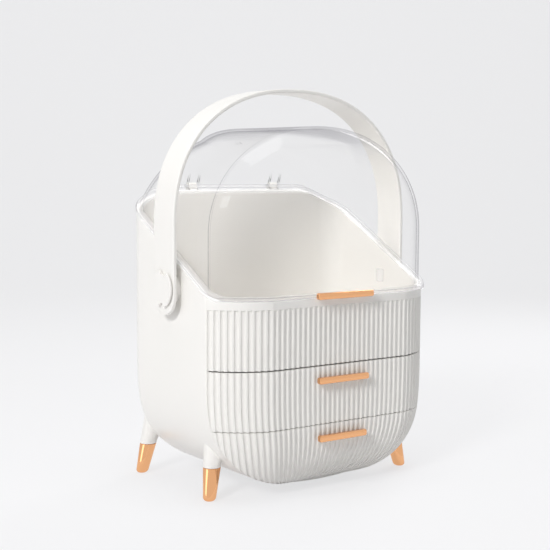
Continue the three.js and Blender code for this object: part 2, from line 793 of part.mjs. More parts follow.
// Handle
function bailHandle() {
  const foot = pivotHeight - strapDrop - strapWidth;
  const outer = [[handleHalfWidth, foot],
    ...archPoints(handleHalfWidth, handleSpringHeight, handleTop, handleExponent),
    [-handleHalfWidth, foot]];
  const half = handleHalfWidth - strapThickness;
  const top = handleTop - strapThickness;
  const inner = [[half, foot - overrun], ...archPoints(half, handleSpringHeight, top, handleExponent),
    [-half, foot - overrun]];
  const [front, back] = [pivotBehindFront - strapWidth / 2, pivotBehindFront + strapWidth / 2];
  const profile = [[back, handleTop + overrun], [front, handleTop + overrun]];
  for (let i = 0; i <= 2 * arcSteps; i++) {
    const angle = i / (2 * arcSteps) * Math.PI;
    profile.push([pivotBehindFront - strapWidth / 2 * Math.cos(angle),
      pivotHeight - strapDrop - strapWidth / 2 * Math.sin(angle)]);
  }
  const reach = handleHalfWidth + overrun;
  return prismY(outer, front, back)
    .subtract(prismY(inner, front - overrun, back + overrun))
    .intersect(prismX(profile, -reach, reach))
    .subtract(rodX(pivotRadius + gap, -reach, reach, pivotBehindFront, pivotHeight));
}

function handlePivot(side) {
  const shaftEnd = halfWidth - caseWall;
  const rod = (radius, near, far) => rodX(radius, ...between(side, near, far),
    pivotBehindFront, pivotHeight);
  const cap = handleHalfWidth + gap;
  return union(
    rod(capRadius, cap, cap + capThickness),
    rod(pivotRadius, shaftEnd, cap + capThickness / 2),
    rod(pivotNeckRadius, shaftEnd - pivotNeckLength, shaftEnd + overrun));
}

function pivotRetainer(side) {
  const outside = halfWidth - caseWall - gap;
  const [low, high] = between(side, outside - retainerThickness, outside);
  const straight = (retainerHeight - retainerWidth) / 2;
  const outline = [];
  for (const [turn, shift] of [[0, straight], [Math.PI, -straight]]) {
    for (let i = 0; i <= arcSteps; i++) {
      const angle = turn + i / arcSteps * Math.PI;
      outline.push([pivotBehindFront + retainerWidth / 2 * Math.cos(angle),
        pivotHeight + shift + retainerWidth / 2 * Math.sin(angle)]);
    }
  }
  return prismX(outline, low, high)
    .subtract(rodX(pivotNeckRadius + gap, low - overrun, high + overrun, pivotBehindFront, pivotHeight));
}

// Assembly
const organizer = new THREE.Group();
const caseGroup = new THREE.Group();
const lidGroup = new THREE.Group();
const handleGroup = new THREE.Group();
const upperDrawer = new THREE.Group();
const lowerDrawer = new THREE.Group();
organizer.add(caseGroup, lidGroup, handleGroup, upperDrawer, lowerDrawer);

caseGroup.add(
  piece('case_shell', caseShell(), whitePlastic),
  piece('upper_front_panel', upperFrontPanel(), whitePlastic),
  piece('compartment_floor', plate(upperSeam + 2 * gap + ledgeThickness), trayPlastic),
  piece('drawer_shelf', plate(lowerSeam).intersect(
    plainBlock(upperLevels(overrun), frontSheet + gap, caseWall)), trayPlastic),
);
for (const [place, at] of Object.entries(footPlaces)) {
  caseGroup.add(piece(`foot_cap_${place}`, footCap(at), gildedMetal));
}
for (const [name, side] of [['left', -1], ['right', 1]]) {
  caseGroup.add(
    piece(`handle_pivot_${name}`, handlePivot(side), whitePlastic),
    piece(`pivot_retainer_${name}`, pivotRetainer(side), clearPlastic),
  );
  lidGroup.add(piece(`hinge_pin_${name}`, hingePin(side * hingeSpacing / 2), steel));
}
lidGroup.add(piece('lid_shell', lidShell(), clearPlastic), piece('lid_bar', lidBar(), gildedMetal));
handleGroup.add(piece('bail_handle', bailHandle(), whitePlastic));

const upperTrayLow = lowerSeam + plateThickness + gap;
upperDrawer.add(...drawer('drawer_upper', upperBarLevel, upperBarLength,
  frontSolid(upperLevels(), upperLevels(overrun)),
  tray(upperTrayLow, upperTrayLow + upperTrayHeight, () => upperLevels(overrun))));
lowerDrawer.add(...drawer('drawer_lower', lowerBarLevel, lowerBarLength,
  frontSolid(lowerLevels(), lowerLevels(frontSheet, overrun)),
  tray(lowerTrayBottom, lowerTrayTop, (inset) => lowerLevels(inset, overrun))));

// The lid bar is the foremost point and the hinge barrels the hindmost
const foremost = -flangeOverhang - gap - lidBarDepth;
const hindmost = hingeY + barrelRadius;
organizer.position.y = -(foremost + hindmost) / 2;

export default organizer;
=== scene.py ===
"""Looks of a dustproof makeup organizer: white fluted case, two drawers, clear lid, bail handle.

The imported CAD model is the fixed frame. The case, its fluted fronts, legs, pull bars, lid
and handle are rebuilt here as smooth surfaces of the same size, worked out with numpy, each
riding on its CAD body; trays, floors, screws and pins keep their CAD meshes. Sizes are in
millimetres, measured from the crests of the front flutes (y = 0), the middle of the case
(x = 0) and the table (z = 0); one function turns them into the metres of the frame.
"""

from __future__ import annotations

import json
import logging
import math
from collections.abc import Sequence
from dataclasses import dataclass, field
from enum import Enum

import bmesh
import bpy
import numpy as np
from mathutils import Matrix, Vector

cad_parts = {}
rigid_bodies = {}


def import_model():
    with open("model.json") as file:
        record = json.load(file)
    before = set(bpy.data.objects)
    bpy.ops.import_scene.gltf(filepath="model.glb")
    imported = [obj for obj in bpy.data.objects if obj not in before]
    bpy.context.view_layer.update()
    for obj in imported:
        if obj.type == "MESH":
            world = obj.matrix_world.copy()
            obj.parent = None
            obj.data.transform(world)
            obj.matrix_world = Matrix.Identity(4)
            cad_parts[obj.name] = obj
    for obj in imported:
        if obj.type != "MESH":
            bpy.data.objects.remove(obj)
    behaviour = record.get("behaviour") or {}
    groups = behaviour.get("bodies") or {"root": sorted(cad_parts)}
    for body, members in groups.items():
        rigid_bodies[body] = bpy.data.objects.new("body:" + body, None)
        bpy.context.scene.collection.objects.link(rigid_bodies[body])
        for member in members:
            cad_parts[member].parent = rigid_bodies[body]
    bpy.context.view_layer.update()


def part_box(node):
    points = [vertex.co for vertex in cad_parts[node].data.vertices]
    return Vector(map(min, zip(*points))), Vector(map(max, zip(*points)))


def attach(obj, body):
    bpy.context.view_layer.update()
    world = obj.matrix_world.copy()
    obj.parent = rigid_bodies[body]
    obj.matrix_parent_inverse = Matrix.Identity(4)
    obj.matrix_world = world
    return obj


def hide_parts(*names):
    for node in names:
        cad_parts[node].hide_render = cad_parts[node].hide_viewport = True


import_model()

LOG = logging.getLogger("organizer")
MM = 0.001
MERGE = 0.002 * MM  # points nearer than this are one
QUARTER = math.pi / 2
Array = np.ndarray
Profile = Sequence[tuple[float, float]]
Material, Tree, Socket = bpy.types.Material, bpy.types.NodeTree, bpy.types.NodeSocket


class Side(Enum):
    """The two sides of the case, as signs of x."""

    LEFT = -1
    RIGHT = 1

    @property
    def label(self) -> str:
        """The side's name as it stands in the names of pieces."""
        return self.name.lower()


class Slot(str, Enum):
    """Material slots of the record."""

    WHITE = "white_shell"
    TRAY = "tray_plastic"
    CLEAR = "clear_lid"
    GOLD = "rose_gold_plating"
    STEEL = "pin_steel"


# Shapes shared by all pieces


@dataclass(frozen=True)
class CaseForm:
    """Outer form of the case, in millimetres."""

    half_width: float = 121.5
    depth: float = 168.0
    wall: float = 2.5
    rear_radius: float = 24.0
    lift: float = 6.0
    shoulder: float = 116.5
    side_exponent: float = 3.1
    flat_exponent: float = 2.5
    rear_turn_height: float = 60.0
    rear_turn: float = 30.0
    lower_seam: float = 64.4
    upper_seam: float = 116.5
    gap: float = 0.3
    seam_gap: float = 0.6
    upper_gap: float = 1.1
    straight_top: float = 150.0
    flute_top: float = 169.0
    front_rim: float = 176.0
    front_turn: float = 40.0
    convergence_share: float = 0.5
    rim_start: float = 23.0
    rim_slope: float = 0.56
    rim_crown: float = 9.8
    crown_half_width: float = 76.0
    crown_foot: float = 115.0
    pivot_y: float = 85.0
    pivot_z: float = 183.0

    def belly_half(self, z: Array, inset: float = 0.0) -> Array:
        """Half width of the U-shaped section at a height.

        The section is a superellipse below the shoulder and upright above it.

        Args:
            z: Heights above the table.
            inset: Distance inside the outer faces.

        Returns:
            Half widths, zero at the lowest point.
        """
        share = np.clip((self.shoulder - z) / (self.shoulder - self.lift - inset), 0.0, 1.0)
        flat = (1.0 - share**self.side_exponent) ** (1.0 / self.flat_exponent)
        return (self.half_width - inset) * flat

    def turn_under(self, z: Array, start: float, depth: float, inset: float) -> Array:
        """How far a face has turned under at a height, as a quarter of an ellipse.

        Args:
            z: Heights above the table.
            start: Height at which the face starts to turn.
            depth: Depth reached at the lowest point.
            inset: Distance inside the outer faces.

        Returns:
            Distances from the upright face.
        """
        share = np.clip((start - z) / (start - self.lift - inset), 0.0, 1.0)
        return depth * (1.0 - np.sqrt(1.0 - share * share))

    def rim(self, x: Array, y: Array) -> Array:
        """Height of the rim that the lid closes on.

        Level along the front, then rising in a straight line, with a smooth crown in the
        middle of the back wall.

        Args:
            x: Places across the case.
            y: Places from front to back.

        Returns:
            Heights above the table.
        """
        slope = self.front_rim + self.rim_slope * np.maximum(y - self.rim_start, 0.0)
        share = (self.crown_foot - np.abs(x)) / (self.crown_foot - self.crown_half_width)
        share = np.clip(share, 0.0, 1.0)
        smooth = share * share * (3.0 - 2.0 * share)
        return slope + np.where(y > self.pivot_y, self.rim_crown * smooth, 0.0)

    @property
    def rear_rim(self) -> float:
        """Height of the rim in the middle of the back wall."""
        return float(self.rim(np.array(0.0), np.array(self.depth)))

    def up_to_rim(self, grid: Array, shares: Sequence[float]) -> Array:
        """Adds rows above the last row of a grid, each at a share of the way up to the rim.

        Args:
            grid: Grid whose last row lies below the rim.
            shares: Shares of the way, up to one.

        Returns:
            The longer grid.
        """
        top = np.repeat(grid[-1:], len(shares), axis=0)
        rise = self.rim(top[..., 0], top[..., 1]) - top[..., 2]
        top[..., 2] += rise * np.array(shares)[:, None]
        return np.concatenate([grid, top])


CASE = CaseForm()


@dataclass(frozen=True)
class FrontPlan:
    """Plan curve of the front: a flat middle, a slight angle, then an arc to each side."""

    pitch: float = 5.5
    middle: int = 27
    corner: int = 10
    radius: float = 70.6
    start: float = math.radians(9.9)

    @property
    def centre(self) -> tuple[float, float]:
        """Centre of the right-hand corner arc."""
        reach = self.pitch * self.middle / 2
        return reach - self.radius * math.sin(self.start), self.radius * math.cos(self.start)

    @property
    def end(self) -> float:
        """Angle at which the arc reaches the side wall."""
        return math.asin((CASE.half_width - self.centre[0]) / self.radius)

    @property
    def parting(self) -> float:
        """Distance of the parting plane behind the flute crests."""
        return self.parting_at(0.0)

    def parting_at(self, inset: float) -> float:
        """Place where the front curve ends when it lies inside the outer faces."""
        across = CASE.half_width - inset - self.centre[0]
        return self.centre[1] - math.sqrt((self.radius - inset) ** 2 - across**2)

    @property
    def reach(self) -> float:
        """Number of flute steps from the middle to either end."""
        return self.middle / 2 + self.corner

    def at(self, step: Array, depth: Array) -> tuple[Array, Array]:
        """Points of the front at a number of flute steps from the middle.

        Args:
            step: Flute steps, negative to the left.
            depth: Distances behind the crest line, along its normal.

        Returns:
            The x and y of each point.
        """
        beyond = np.clip((np.abs(step) - self.middle / 2) / self.corner, 0.0, None)
        angle = self.start + (self.end - self.start) * beyond
        cx, cy = self.centre
        x_arc = np.sign(step) * (cx + (self.radius - depth) * np.sin(angle))
        y_arc = cy - (self.radius - depth) * np.cos(angle)
        flat = beyond <= 0.0
        return np.where(flat, step * self.pitch, x_arc), np.where(flat, depth, y_arc)


PLAN = FrontPlan()


@dataclass(frozen=True)
class HingeForm:
    """Hinge of the lid: pins behind the back wall, between knuckles and ears."""

    spacing: float = 96.0
    behind: float = 5.5
    above: float = 4.0
    barrel: float = 3.2
    knuckle_half: float = 4.5
    knuckle_root: float = 17.0
    knuckle_chin: float = 4.0
    ear: float = 1.8
    ear_start: float = math.radians(190.8)
    ear_tip: float = 0.6
    knuckle_points: int = 14
    ear_points: int = 12
    ear_back: tuple[tuple[float, float], ...] = ((3.4, 5.0), (1.6, 11.5), (0.0, 12.0))

    @property
    def pin(self) -> tuple[float, float]:
        """The y and z of the pins' axis."""
        return CASE.depth + self.behind, CASE.rear_rim + self.above

    def arc(self, start: float, stop: float, count: int) -> Profile:
        """Points of the barrel round the pin.

        Args:
            start: First angle, from the back.
            stop: Last angle.
            count: Number of points.

        Returns:
            Pairs of y and z.
        """
        y, z = self.pin
        angles = np.linspace(start, stop, count)
        return [(y + self.barrel * math.cos(a), z + self.barrel * math.sin(a)) for a in angles]


HINGE = HingeForm()


def quarter(count: int) -> Array:
    """Angles of a quarter turn, from nought up."""
    return np.linspace(0.0, QUARTER, count)


def crest_shift() -> Array:
    """Place of the flute crests in the frame, in metres."""
    return np.array([0.0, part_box("drawer_upper_front")[0][1], 0.0])


def to_frame(points: Array) -> Array:
    """Turns millimetres from the flute crests into metres of the frame."""
    return np.asarray(points, dtype=float) * MM + crest_shift()


def node_box(node: str) -> tuple[Array, Array]:
    """Lowest and highest corner of a CAD node, in millimetres from the flute crests."""
    low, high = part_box(node)
    return (np.array(low) - crest_shift()) / MM, (np.array(high) - crest_shift()) / MM


def grid_faces(rows: int, columns: int, first: int = 0, wrap: bool = False) -> Array:
    """Four-sided faces of a grid of points.

    Args:
        rows: Rows of the grid.
        columns: Columns of the grid.
        first: Index of the first point.
        wrap: Whether the last column joins the first.

    Returns:
        An array of point indices, four to a face.
    """
    index = first + np.arange(rows * columns).reshape(rows, columns)
    if wrap:
        index = np.concatenate([index, index[:, :1]], axis=1)
    quads = [index[:-1, :-1], index[:-1, 1:], index[1:, 1:], index[1:, :-1]]
    return np.stack([corner.ravel() for corner in quads], axis=1)


@dataclass
class Surface:
    """Points and faces that are gathered for one mesh."""

    points: list[Array] = field(default_factory=list)
    faces: list[Array] = field(default_factory=list)
    folds: list[Array] = field(default_factory=list)
    rims: list[Array] = field(default_factory=list)
    count: int = 0

    def add_grid(
        self, grid: Array, wrap: bool = False, fold: Array | float = 0.0, rim: Array | float = 0.0
    ) -> None:
        """Adds one grid of points.

        Args:
            grid: Array of rows, columns and x, y, z.
            wrap: Whether the last column joins the first.
            fold: How much painted grey shade each point gets, from 0 to 1.
            rim: How much painted white glow each point gets, for a bright thick rim, from 0 to 1.
        """
        rows, columns = grid.shape[:2]
        self.faces.append(grid_faces(rows, columns, self.count, wrap))
        self.points.append(grid.reshape(-1, 3))
        self.folds.append(np.broadcast_to(fold, (rows, columns)).ravel())
        self.rims.append(np.broadcast_to(rim, (rows, columns)).ravel())
        self.count += rows * columns

    def add_shell(self, outer: Array, inner: Array) -> None:
        """Adds a wall between two grids of the same shape, closed along all four edges.

        Args:
            outer: Grid of the outer face.
            inner: Grid of the inner face.
        """
        rows, columns = outer.shape[:2]
        out = self.count + np.arange(rows * columns).reshape(rows, columns)
        inn = out + rows * columns
        self.add_grid(outer)
        self.add_grid(inner)
        for edge in (np.s_[0, :], np.s_[-1, :], np.s_[:, 0], np.s_[:, -1]):
            left, right = out[edge], inn[edge]
            self.faces.append(np.stack([left[:-1], left[1:], right[1:], right[:-1]], axis=1))

    def add_prism(self, outline: Profile, low: float, high: float) -> None:
        """Adds a prism along x whose outline lies across y and z.

        Each end is closed by a fan of faces to the middle of the outline.

        Args:
            outline: Pairs of y and z.
            low: Lower end along x.
            high: Upper end along x.
        """
        ring = np.array(outline)
        middle = np.broadcast_to(ring.mean(axis=0), ring.shape)
        rows = [(middle, low), (ring, low), (ring, high), (middle, high)]
        grid = [np.column_stack([np.full(len(ring), x), path]) for path, x in rows]
        self.add_grid(np.stack(grid), wrap=True)

    def make(self, name: str, sharp: float) -> bpy.types.Object:
        """Makes a smooth-shaded object whose faces point outwards.

        Args:
            name: Name of the object.
            sharp: Angle in degrees above which an edge stays sharp.

        Returns:
            The new object, at the origin.
        """
        mesh = bpy.data.meshes.new(name)
        faces = np.concatenate(self.faces).tolist()
        mesh.from_pydata(to_frame(np.concatenate(self.points)), [], faces)
        # Marks for the clear finish: painted grey edge shade and painted white glow
        for mark, values in (("fold", self.folds), ("rim", self.rims)):
            layer = mesh.attributes.new(mark, "FLOAT", "POINT")
            layer.data.foreach_set("value", np.concatenate(values))
        work = bmesh.new()
        work.from_mesh(mesh)
        bmesh.ops.remove_doubles(work, verts=work.verts, dist=MERGE)
        bmesh.ops.dissolve_degenerate(work, edges=work.edges, dist=MERGE)
        bmesh.ops.recalc_face_normals(work, faces=work.faces)
        work.to_mesh(mesh)
        work.free()
        mesh.shade_smooth()
        mesh.set_sharp_from_angle(angle=math.radians(sharp))
        item = bpy.data.objects.new(name, mesh)
        bpy.context.scene.collection.objects.link(item)
        return item


def lathe(profile: Profile, axis: str, centre: Sequence[float], steps: int) -> Array:
    """Grid of a profile turned round an axis.

    Args:
        profile: Pairs of radius and distance along the axis.
        axis: "x" or "z".
        centre: Point from which the distance is measured.
        steps: Points round the axis.

    Returns:
        Grid of rows along the profile and wrapped columns round the axis.
    """
    radius, along = np.array(profile, dtype=float).T[..., None]
    angle = np.linspace(0.0, 2 * math.pi, steps, endpoint=False)
    u, v = radius * np.cos(angle), radius * np.sin(angle)
    w = along + 0.0 * u
    return np.stack((w, u, v) if axis == "x" else (u, v, w), axis=-1) + np.array(centre)


def rounded_profile(radius: float, low: float, high: float, edge: float) -> Profile:
    """Profile of a disc with rounded rims, from axis to axis.

    Args:
        radius: Radius of the disc.
        low: Lower end.
        high: Upper end.
        edge: Radius of the rims.

    Returns:
        Pairs of radius and height.
    """
    waist, points = radius - edge, 7
    turn = quarter(points)
    bottom = [(waist + edge * math.sin(a), low + edge - edge * math.cos(a)) for a in turn]
    top = [(waist + edge * math.cos(a), high - edge + edge * math.sin(a)) for a in turn]
    return [(0.0, low), *bottom, *top, (0.0, high)]


def rounded_bar(half: Sequence[float], centre: Sequence[float], edge: float) -> Array:
    """Grid of a block with all its edges rounded.

    Points of a small sphere are pushed apart, each to the corner of the block it faces.

    Args:
        half: Half sizes along x, y and z.
        centre: Middle of the block.
        edge: Radius of the edges.

    Returns:
        Grid of rows from end to end along x and wrapped columns; the first and last rows
        close the ends.
    """
    rings, columns = 14, 28
    turn = np.linspace(0.0, math.pi, rings)
    near, far = turn[: rings // 2], turn[rings // 2 :]
    polar = np.concatenate([[0.0], near, [QUARTER], far, [math.pi]])
    around = (np.arange(columns) + 0.5) / columns * 2 * math.pi
    p, a = np.meshgrid(polar, around, indexing="ij")
    end = np.where(np.arange(len(polar)) < len(polar) / 2, -1.0, 1.0)[:, None]
    ball = np.stack([-np.cos(p), np.sin(p) * np.cos(a), np.sin(p) * np.sin(a)], axis=-1)
    push = np.stack([end + 0.0 * a, np.sign(np.cos(a)), np.sign(np.sin(a))], axis=-1)
    push[[0, -1], :, 1:] = 0.0
    inner = np.maximum(np.asarray(half, dtype=float) - edge, 0.0)
    return ball * edge + push * inner + np.asarray(centre, dtype=float)


# Finishes


def linear(code: str) -> tuple[float, ...]:
    """Turns an sRGB hex colour into linear red, green, blue and alpha."""
    parts = [int(code[i : i + 2], 16) / 255 for i in (1, 3, 5)]
    return (*(c / 12.92 if c <= 0.04045 else ((c + 0.055) / 1.055) ** 2.4 for c in parts), 1.0)


def add_node(
    tree: Tree, kind: str, settings: dict | None = None, links: dict | None = None
) -> bpy.types.Node:
    """Adds a node with its settings and links.

    Args:
        tree: The node tree.
        kind: Type of the node.
        settings: Values of attributes or, by name or number, of inputs.
        links: Names or numbers of inputs and the output sockets that feed them.

    Returns:
        The node.
    """
    node = tree.nodes.new(kind)
    for name, value in (settings or {}).items():
        if isinstance(name, str) and hasattr(node, name):
            setattr(node, name, value)
        else:
            node.inputs[name].default_value = value
    for name, socket in (links or {}).items():
        tree.links.new(socket, node.inputs[name])
    return node


@dataclass(frozen=True)
class Finish:
    """A material that is named for what the real one is."""

    name: str

    def start(self, values: dict) -> tuple[Material, bpy.types.Node]:
        """Makes the material with the values of its shader.

        Args:
            values: Values of the shader's own sockets.

        Returns:
            The material and its shader.
        """
        material = bpy.data.materials.new(self.name)
        material.use_nodes = True
        shader = material.node_tree.nodes["Principled BSDF"]
        for name, value in values.items():
            shader.inputs[name].default_value = value
        return material, shader

    def uneven(self, shader: bpy.types.Node, size: float, low: float, high: float) -> None:
        """Varies the gloss over the surface in soft clouds.

        Args:
            shader: The shader whose roughness varies.
            size: Size of a cloud in millimetres.
            low: Least roughness.
            high: Greatest roughness.
        """
        tree = shader.id_data
        place = add_node(tree, "ShaderNodeTexCoord").outputs["Object"]
        values = {"Scale": 1.0 / (size * MM), "Detail": 2.0}
        cloud = add_node(tree, "ShaderNodeTexNoise", values, {"Vector": place})
        values = {"To Min": low, "To Max": high}
        gloss = add_node(tree, "ShaderNodeMapRange", values, {"Value": cloud.outputs["Fac"]})
        tree.links.new(gloss.outputs["Result"], shader.inputs["Roughness"])


@dataclass(frozen=True)
class MouldedPlastic(Finish):
    """Opaque injection-moulded plastic.

    The eye gets a soft, wide highlight that breaks up slightly on the texture of the mould,
    and a gloss that isn't quite even over a hand's breadth.
    """

    color: str
    roughness: float
    ior: float = 1.5
    # Grain of the mould in millimetres, about twice the real one, which would not show
    texture: float = 0.45
    texture_depth: float = 0.1
    bump: float = 0.03
    cloud: float = 40.0
    duller: float = 0.05
    glossier: float = 0.04

    def build(self) -> Material:
        """Makes the material.

        Returns:
            The material.
        """
        material, shader = self.start({"Base Color": linear(self.color), "IOR": self.ior})
        tree = material.node_tree
        low, high = self.roughness - self.glossier, self.roughness + self.duller
        self.uneven(shader, self.cloud, low, high)
        place = add_node(tree, "ShaderNodeTexCoord").outputs["Object"]
        values = {"Scale": 1.0 / (self.texture * MM), "Detail": 3.0}
        grain = add_node(tree, "ShaderNodeTexNoise", values, {"Vector": place})
        values = {"Strength": self.bump, "Distance": self.texture_depth * MM}
        relief = add_node(tree, "ShaderNodeBump", values, {"Height": grain.outputs["Fac"]})
        tree.links.new(relief.outputs["Normal"], shader.inputs["Normal"])
        return material


@dataclass(frozen=True)
class ClearPlastic(Finish):
    """Clear injection-moulded polystyrene in a thin wall.

    Seen straight on, the wall is all but invisible. Painted grey shade is put where it turns
    away from the eye and along marked creases and flange edges, standing for the dark outline
    that refraction draws round the lid and its flange, and a painted white glow on the marked
    flange and clips stands for their bright internal reflections. Light passes the wall without
    bending, as it does through a thin sheet: lamps shine through it, and so does most of the soft
    light.
    """

    clear: str = "#FEFEFE"
    # Grey of the painted shade that stands for the dark outline that refraction draws
    edge: str = "#A3A1A7"
    shade: str = "#FDFDFD"
    # Painted white glow on the marked flange and clips, standing for bright internal reflections
    milk: str = "#FAF9FA"
    milk_share: float = 0.22
    roughness: float = 0.0
    ior: float = 1.0
    coat: float = 0.3
    coat_roughness: float = 0.04
    turned: float = 0.5
    steepness: float = 2.0
    soft_share: float = 0.88

    def tint(self, tree: Tree) -> Socket:
        """Colour of the wall, with painted grey shade where it is turned away or marked.

        Args:
            tree: The node tree.

        Returns:
            The socket that gives the colour.
        """
        facing = add_node(tree, "ShaderNodeLayerWeight", {"Blend": 0.5}).outputs["Facing"]
        values = {"From Min": self.turned, "From Max": 1.0}
        turning = add_node(tree, "ShaderNodeMapRange", values, {"Value": facing})
        values = {"operation": "POWER", 1: self.steepness}
        steep = add_node(tree, "ShaderNodeMath", values, {0: turning.outputs["Result"]})
        # Marked creases and flange edges get painted grey shade as well
        folds = add_node(tree, "ShaderNodeAttribute", {"attribute_name": "fold"}).outputs["Fac"]
        links = {0: steep.outputs["Value"], 1: folds}
        grey = add_node(tree, "ShaderNodeMath", {"operation": "MAXIMUM"}, links)
        values = {"Color1": linear(self.clear), "Color2": linear(self.edge)}
        tint = add_node(tree, "ShaderNodeMixRGB", values, {"Fac": grey.outputs["Value"]})
        return tint.outputs["Color"]

    def passing(self, tree: Tree) -> Socket:
        """Share of the light that passes straight through: all of the lamps', most soft light.

        Args:
            tree: The node tree.

        Returns:
            The socket that gives the share.
        """
        rays = add_node(tree, "ShaderNodeLightPath").outputs
        values = {"operation": "MULTIPLY", 1: self.soft_share}
        soft = add_node(tree, "ShaderNodeMath", values, {0: rays["Is Diffuse Ray"]})
        links = {0: rays["Is Shadow Ray"], 1: soft.outputs["Value"]}
        return add_node(tree, "ShaderNodeMath", {"operation": "MAXIMUM"}, links).outputs["Value"]

    def build(self) -> Material:
        """Makes the material.

        Returns:
            The material.
        """
        material, shader = self.start({
            "Roughness": self.roughness,
            "IOR": self.ior,
            "Transmission Weight": 1.0,
            "Coat Weight": self.coat,
            "Coat Roughness": self.coat_roughness,
        })
        tree = material.node_tree
        tree.links.new(self.tint(tree), shader.inputs["Base Color"])
        # Marked flange and clips get a painted white glow: a diffuse white that stands for the
        # bright internal reflections of thick clear plastic
        rims = add_node(tree, "ShaderNodeAttribute", {"attribute_name": "rim"}).outputs["Fac"]
        values = {"operation": "MULTIPLY", 1: self.milk_share}
        painted_glow = add_node(tree, "ShaderNodeMath", values, {0: rims}).outputs["Value"]
        white = add_node(tree, "ShaderNodeBsdfDiffuse", {"Color": linear(self.milk)})
        links = {0: painted_glow, 1: shader.outputs["BSDF"], 2: white.outputs["BSDF"]}
        rim = add_node(tree, "ShaderNodeMixShader", None, links)
        lit = add_node(tree, "ShaderNodeBsdfTransparent", {"Color": linear(self.shade)})
        links = {0: self.passing(tree), 1: rim.outputs["Shader"], 2: lit.outputs["BSDF"]}
        mix = add_node(tree, "ShaderNodeMixShader", None, links)
        tree.links.new(mix.outputs["Shader"], tree.nodes["Material Output"].inputs["Surface"])
        return material


@dataclass(frozen=True)
class PlatedMetal(Finish):
    """Plated metal.

    The eye gets tinted reflections of what stands around, a little softer in some places
    than in others, where the plating is uneven.
    """

    color: str
    roughness: float
    cloud: float = 6.0
    spread: tuple[float, float] = (0.8, 1.3)

    def build(self) -> Material:
        """Makes the material.

        Returns:
            The material.
        """
        material, shader = self.start({"Base Color": linear(self.color), "Metallic": 1.0})
        self.uneven(shader, self.cloud, *(self.roughness * share for share in self.spread))
        return material


@dataclass
class Finishes:
    """The finishes of the organizer, made once."""

    materials: dict[Slot, Material] = field(default_factory=dict)

    def __post_init__(self) -> None:
        """Makes every finish."""
        kinds = {
            # Case, fronts and strap: warm white with a clear sheen
            Slot.WHITE: MouldedPlastic("gloss moulded white ABS", "#F1EFEB", 0.3),
            # Trays and floors inside: a little greyer and duller
            Slot.TRAY: MouldedPlastic("satin moulded white polystyrene", "#ECE8E3", 0.42),
            # Lid and clips: see-through, with painted grey shade at the outline and a painted white
            # glow on the flange
            Slot.CLEAR: ClearPlastic("clear moulded polystyrene"),
            # Pull bars and foot caps: peach reflections, nearly as sharp as a mirror's
            Slot.GOLD: PlatedMetal("polished rose-gold plating", "#F3B785", 0.07),
            # Pins and screws: dull silver
            Slot.STEEL: PlatedMetal("zinc-plated steel", "#D2D4D6", 0.32),
        }
        self.materials = {slot: kind.build() for slot, kind in kinds.items()}

    def dress(self, item: bpy.types.Object, slot: Slot) -> None:
        """Puts a finish on an object."""
        item.data.materials.clear()
        item.data.materials.append(self.materials[slot])

    def dress_node(self, node: str, slot: Slot) -> None:
        """Puts a finish on a CAD node that is shown as it is.

        Args:
            node: Name of the node.
            slot: Slot of its finish.
        """
        for item in bpy.data.objects:
            if item.name == node or item.name.startswith(f"{node}."):
                for place in item.material_slots:
                    place.material = self.materials[slot]


@dataclass
class Piece:
    """A group of pieces: where each rides, what it stands for and its finish."""

    finishes: Finishes

    def place(
        self, surface: Surface, name: str, body: str, slot: Slot, node: str, sharp: float = 38.0
    ) -> None:
        """Makes the object of a surface and ties it to the frame.

        Args:
            surface: The gathered surface.
            name: Name of the piece.
            body: CAD body that it rides on.
            slot: Material slot.
            node: CAD node that it stands for.
            sharp: Angle in degrees above which an edge stays sharp.
        """
        item = surface.make(name, sharp)
        self.finishes.dress(item, slot)
        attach(item, body)
        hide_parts(node)
        LOG.info("%s: %d points", name, len(item.data.vertices))


# Fluted mouldings


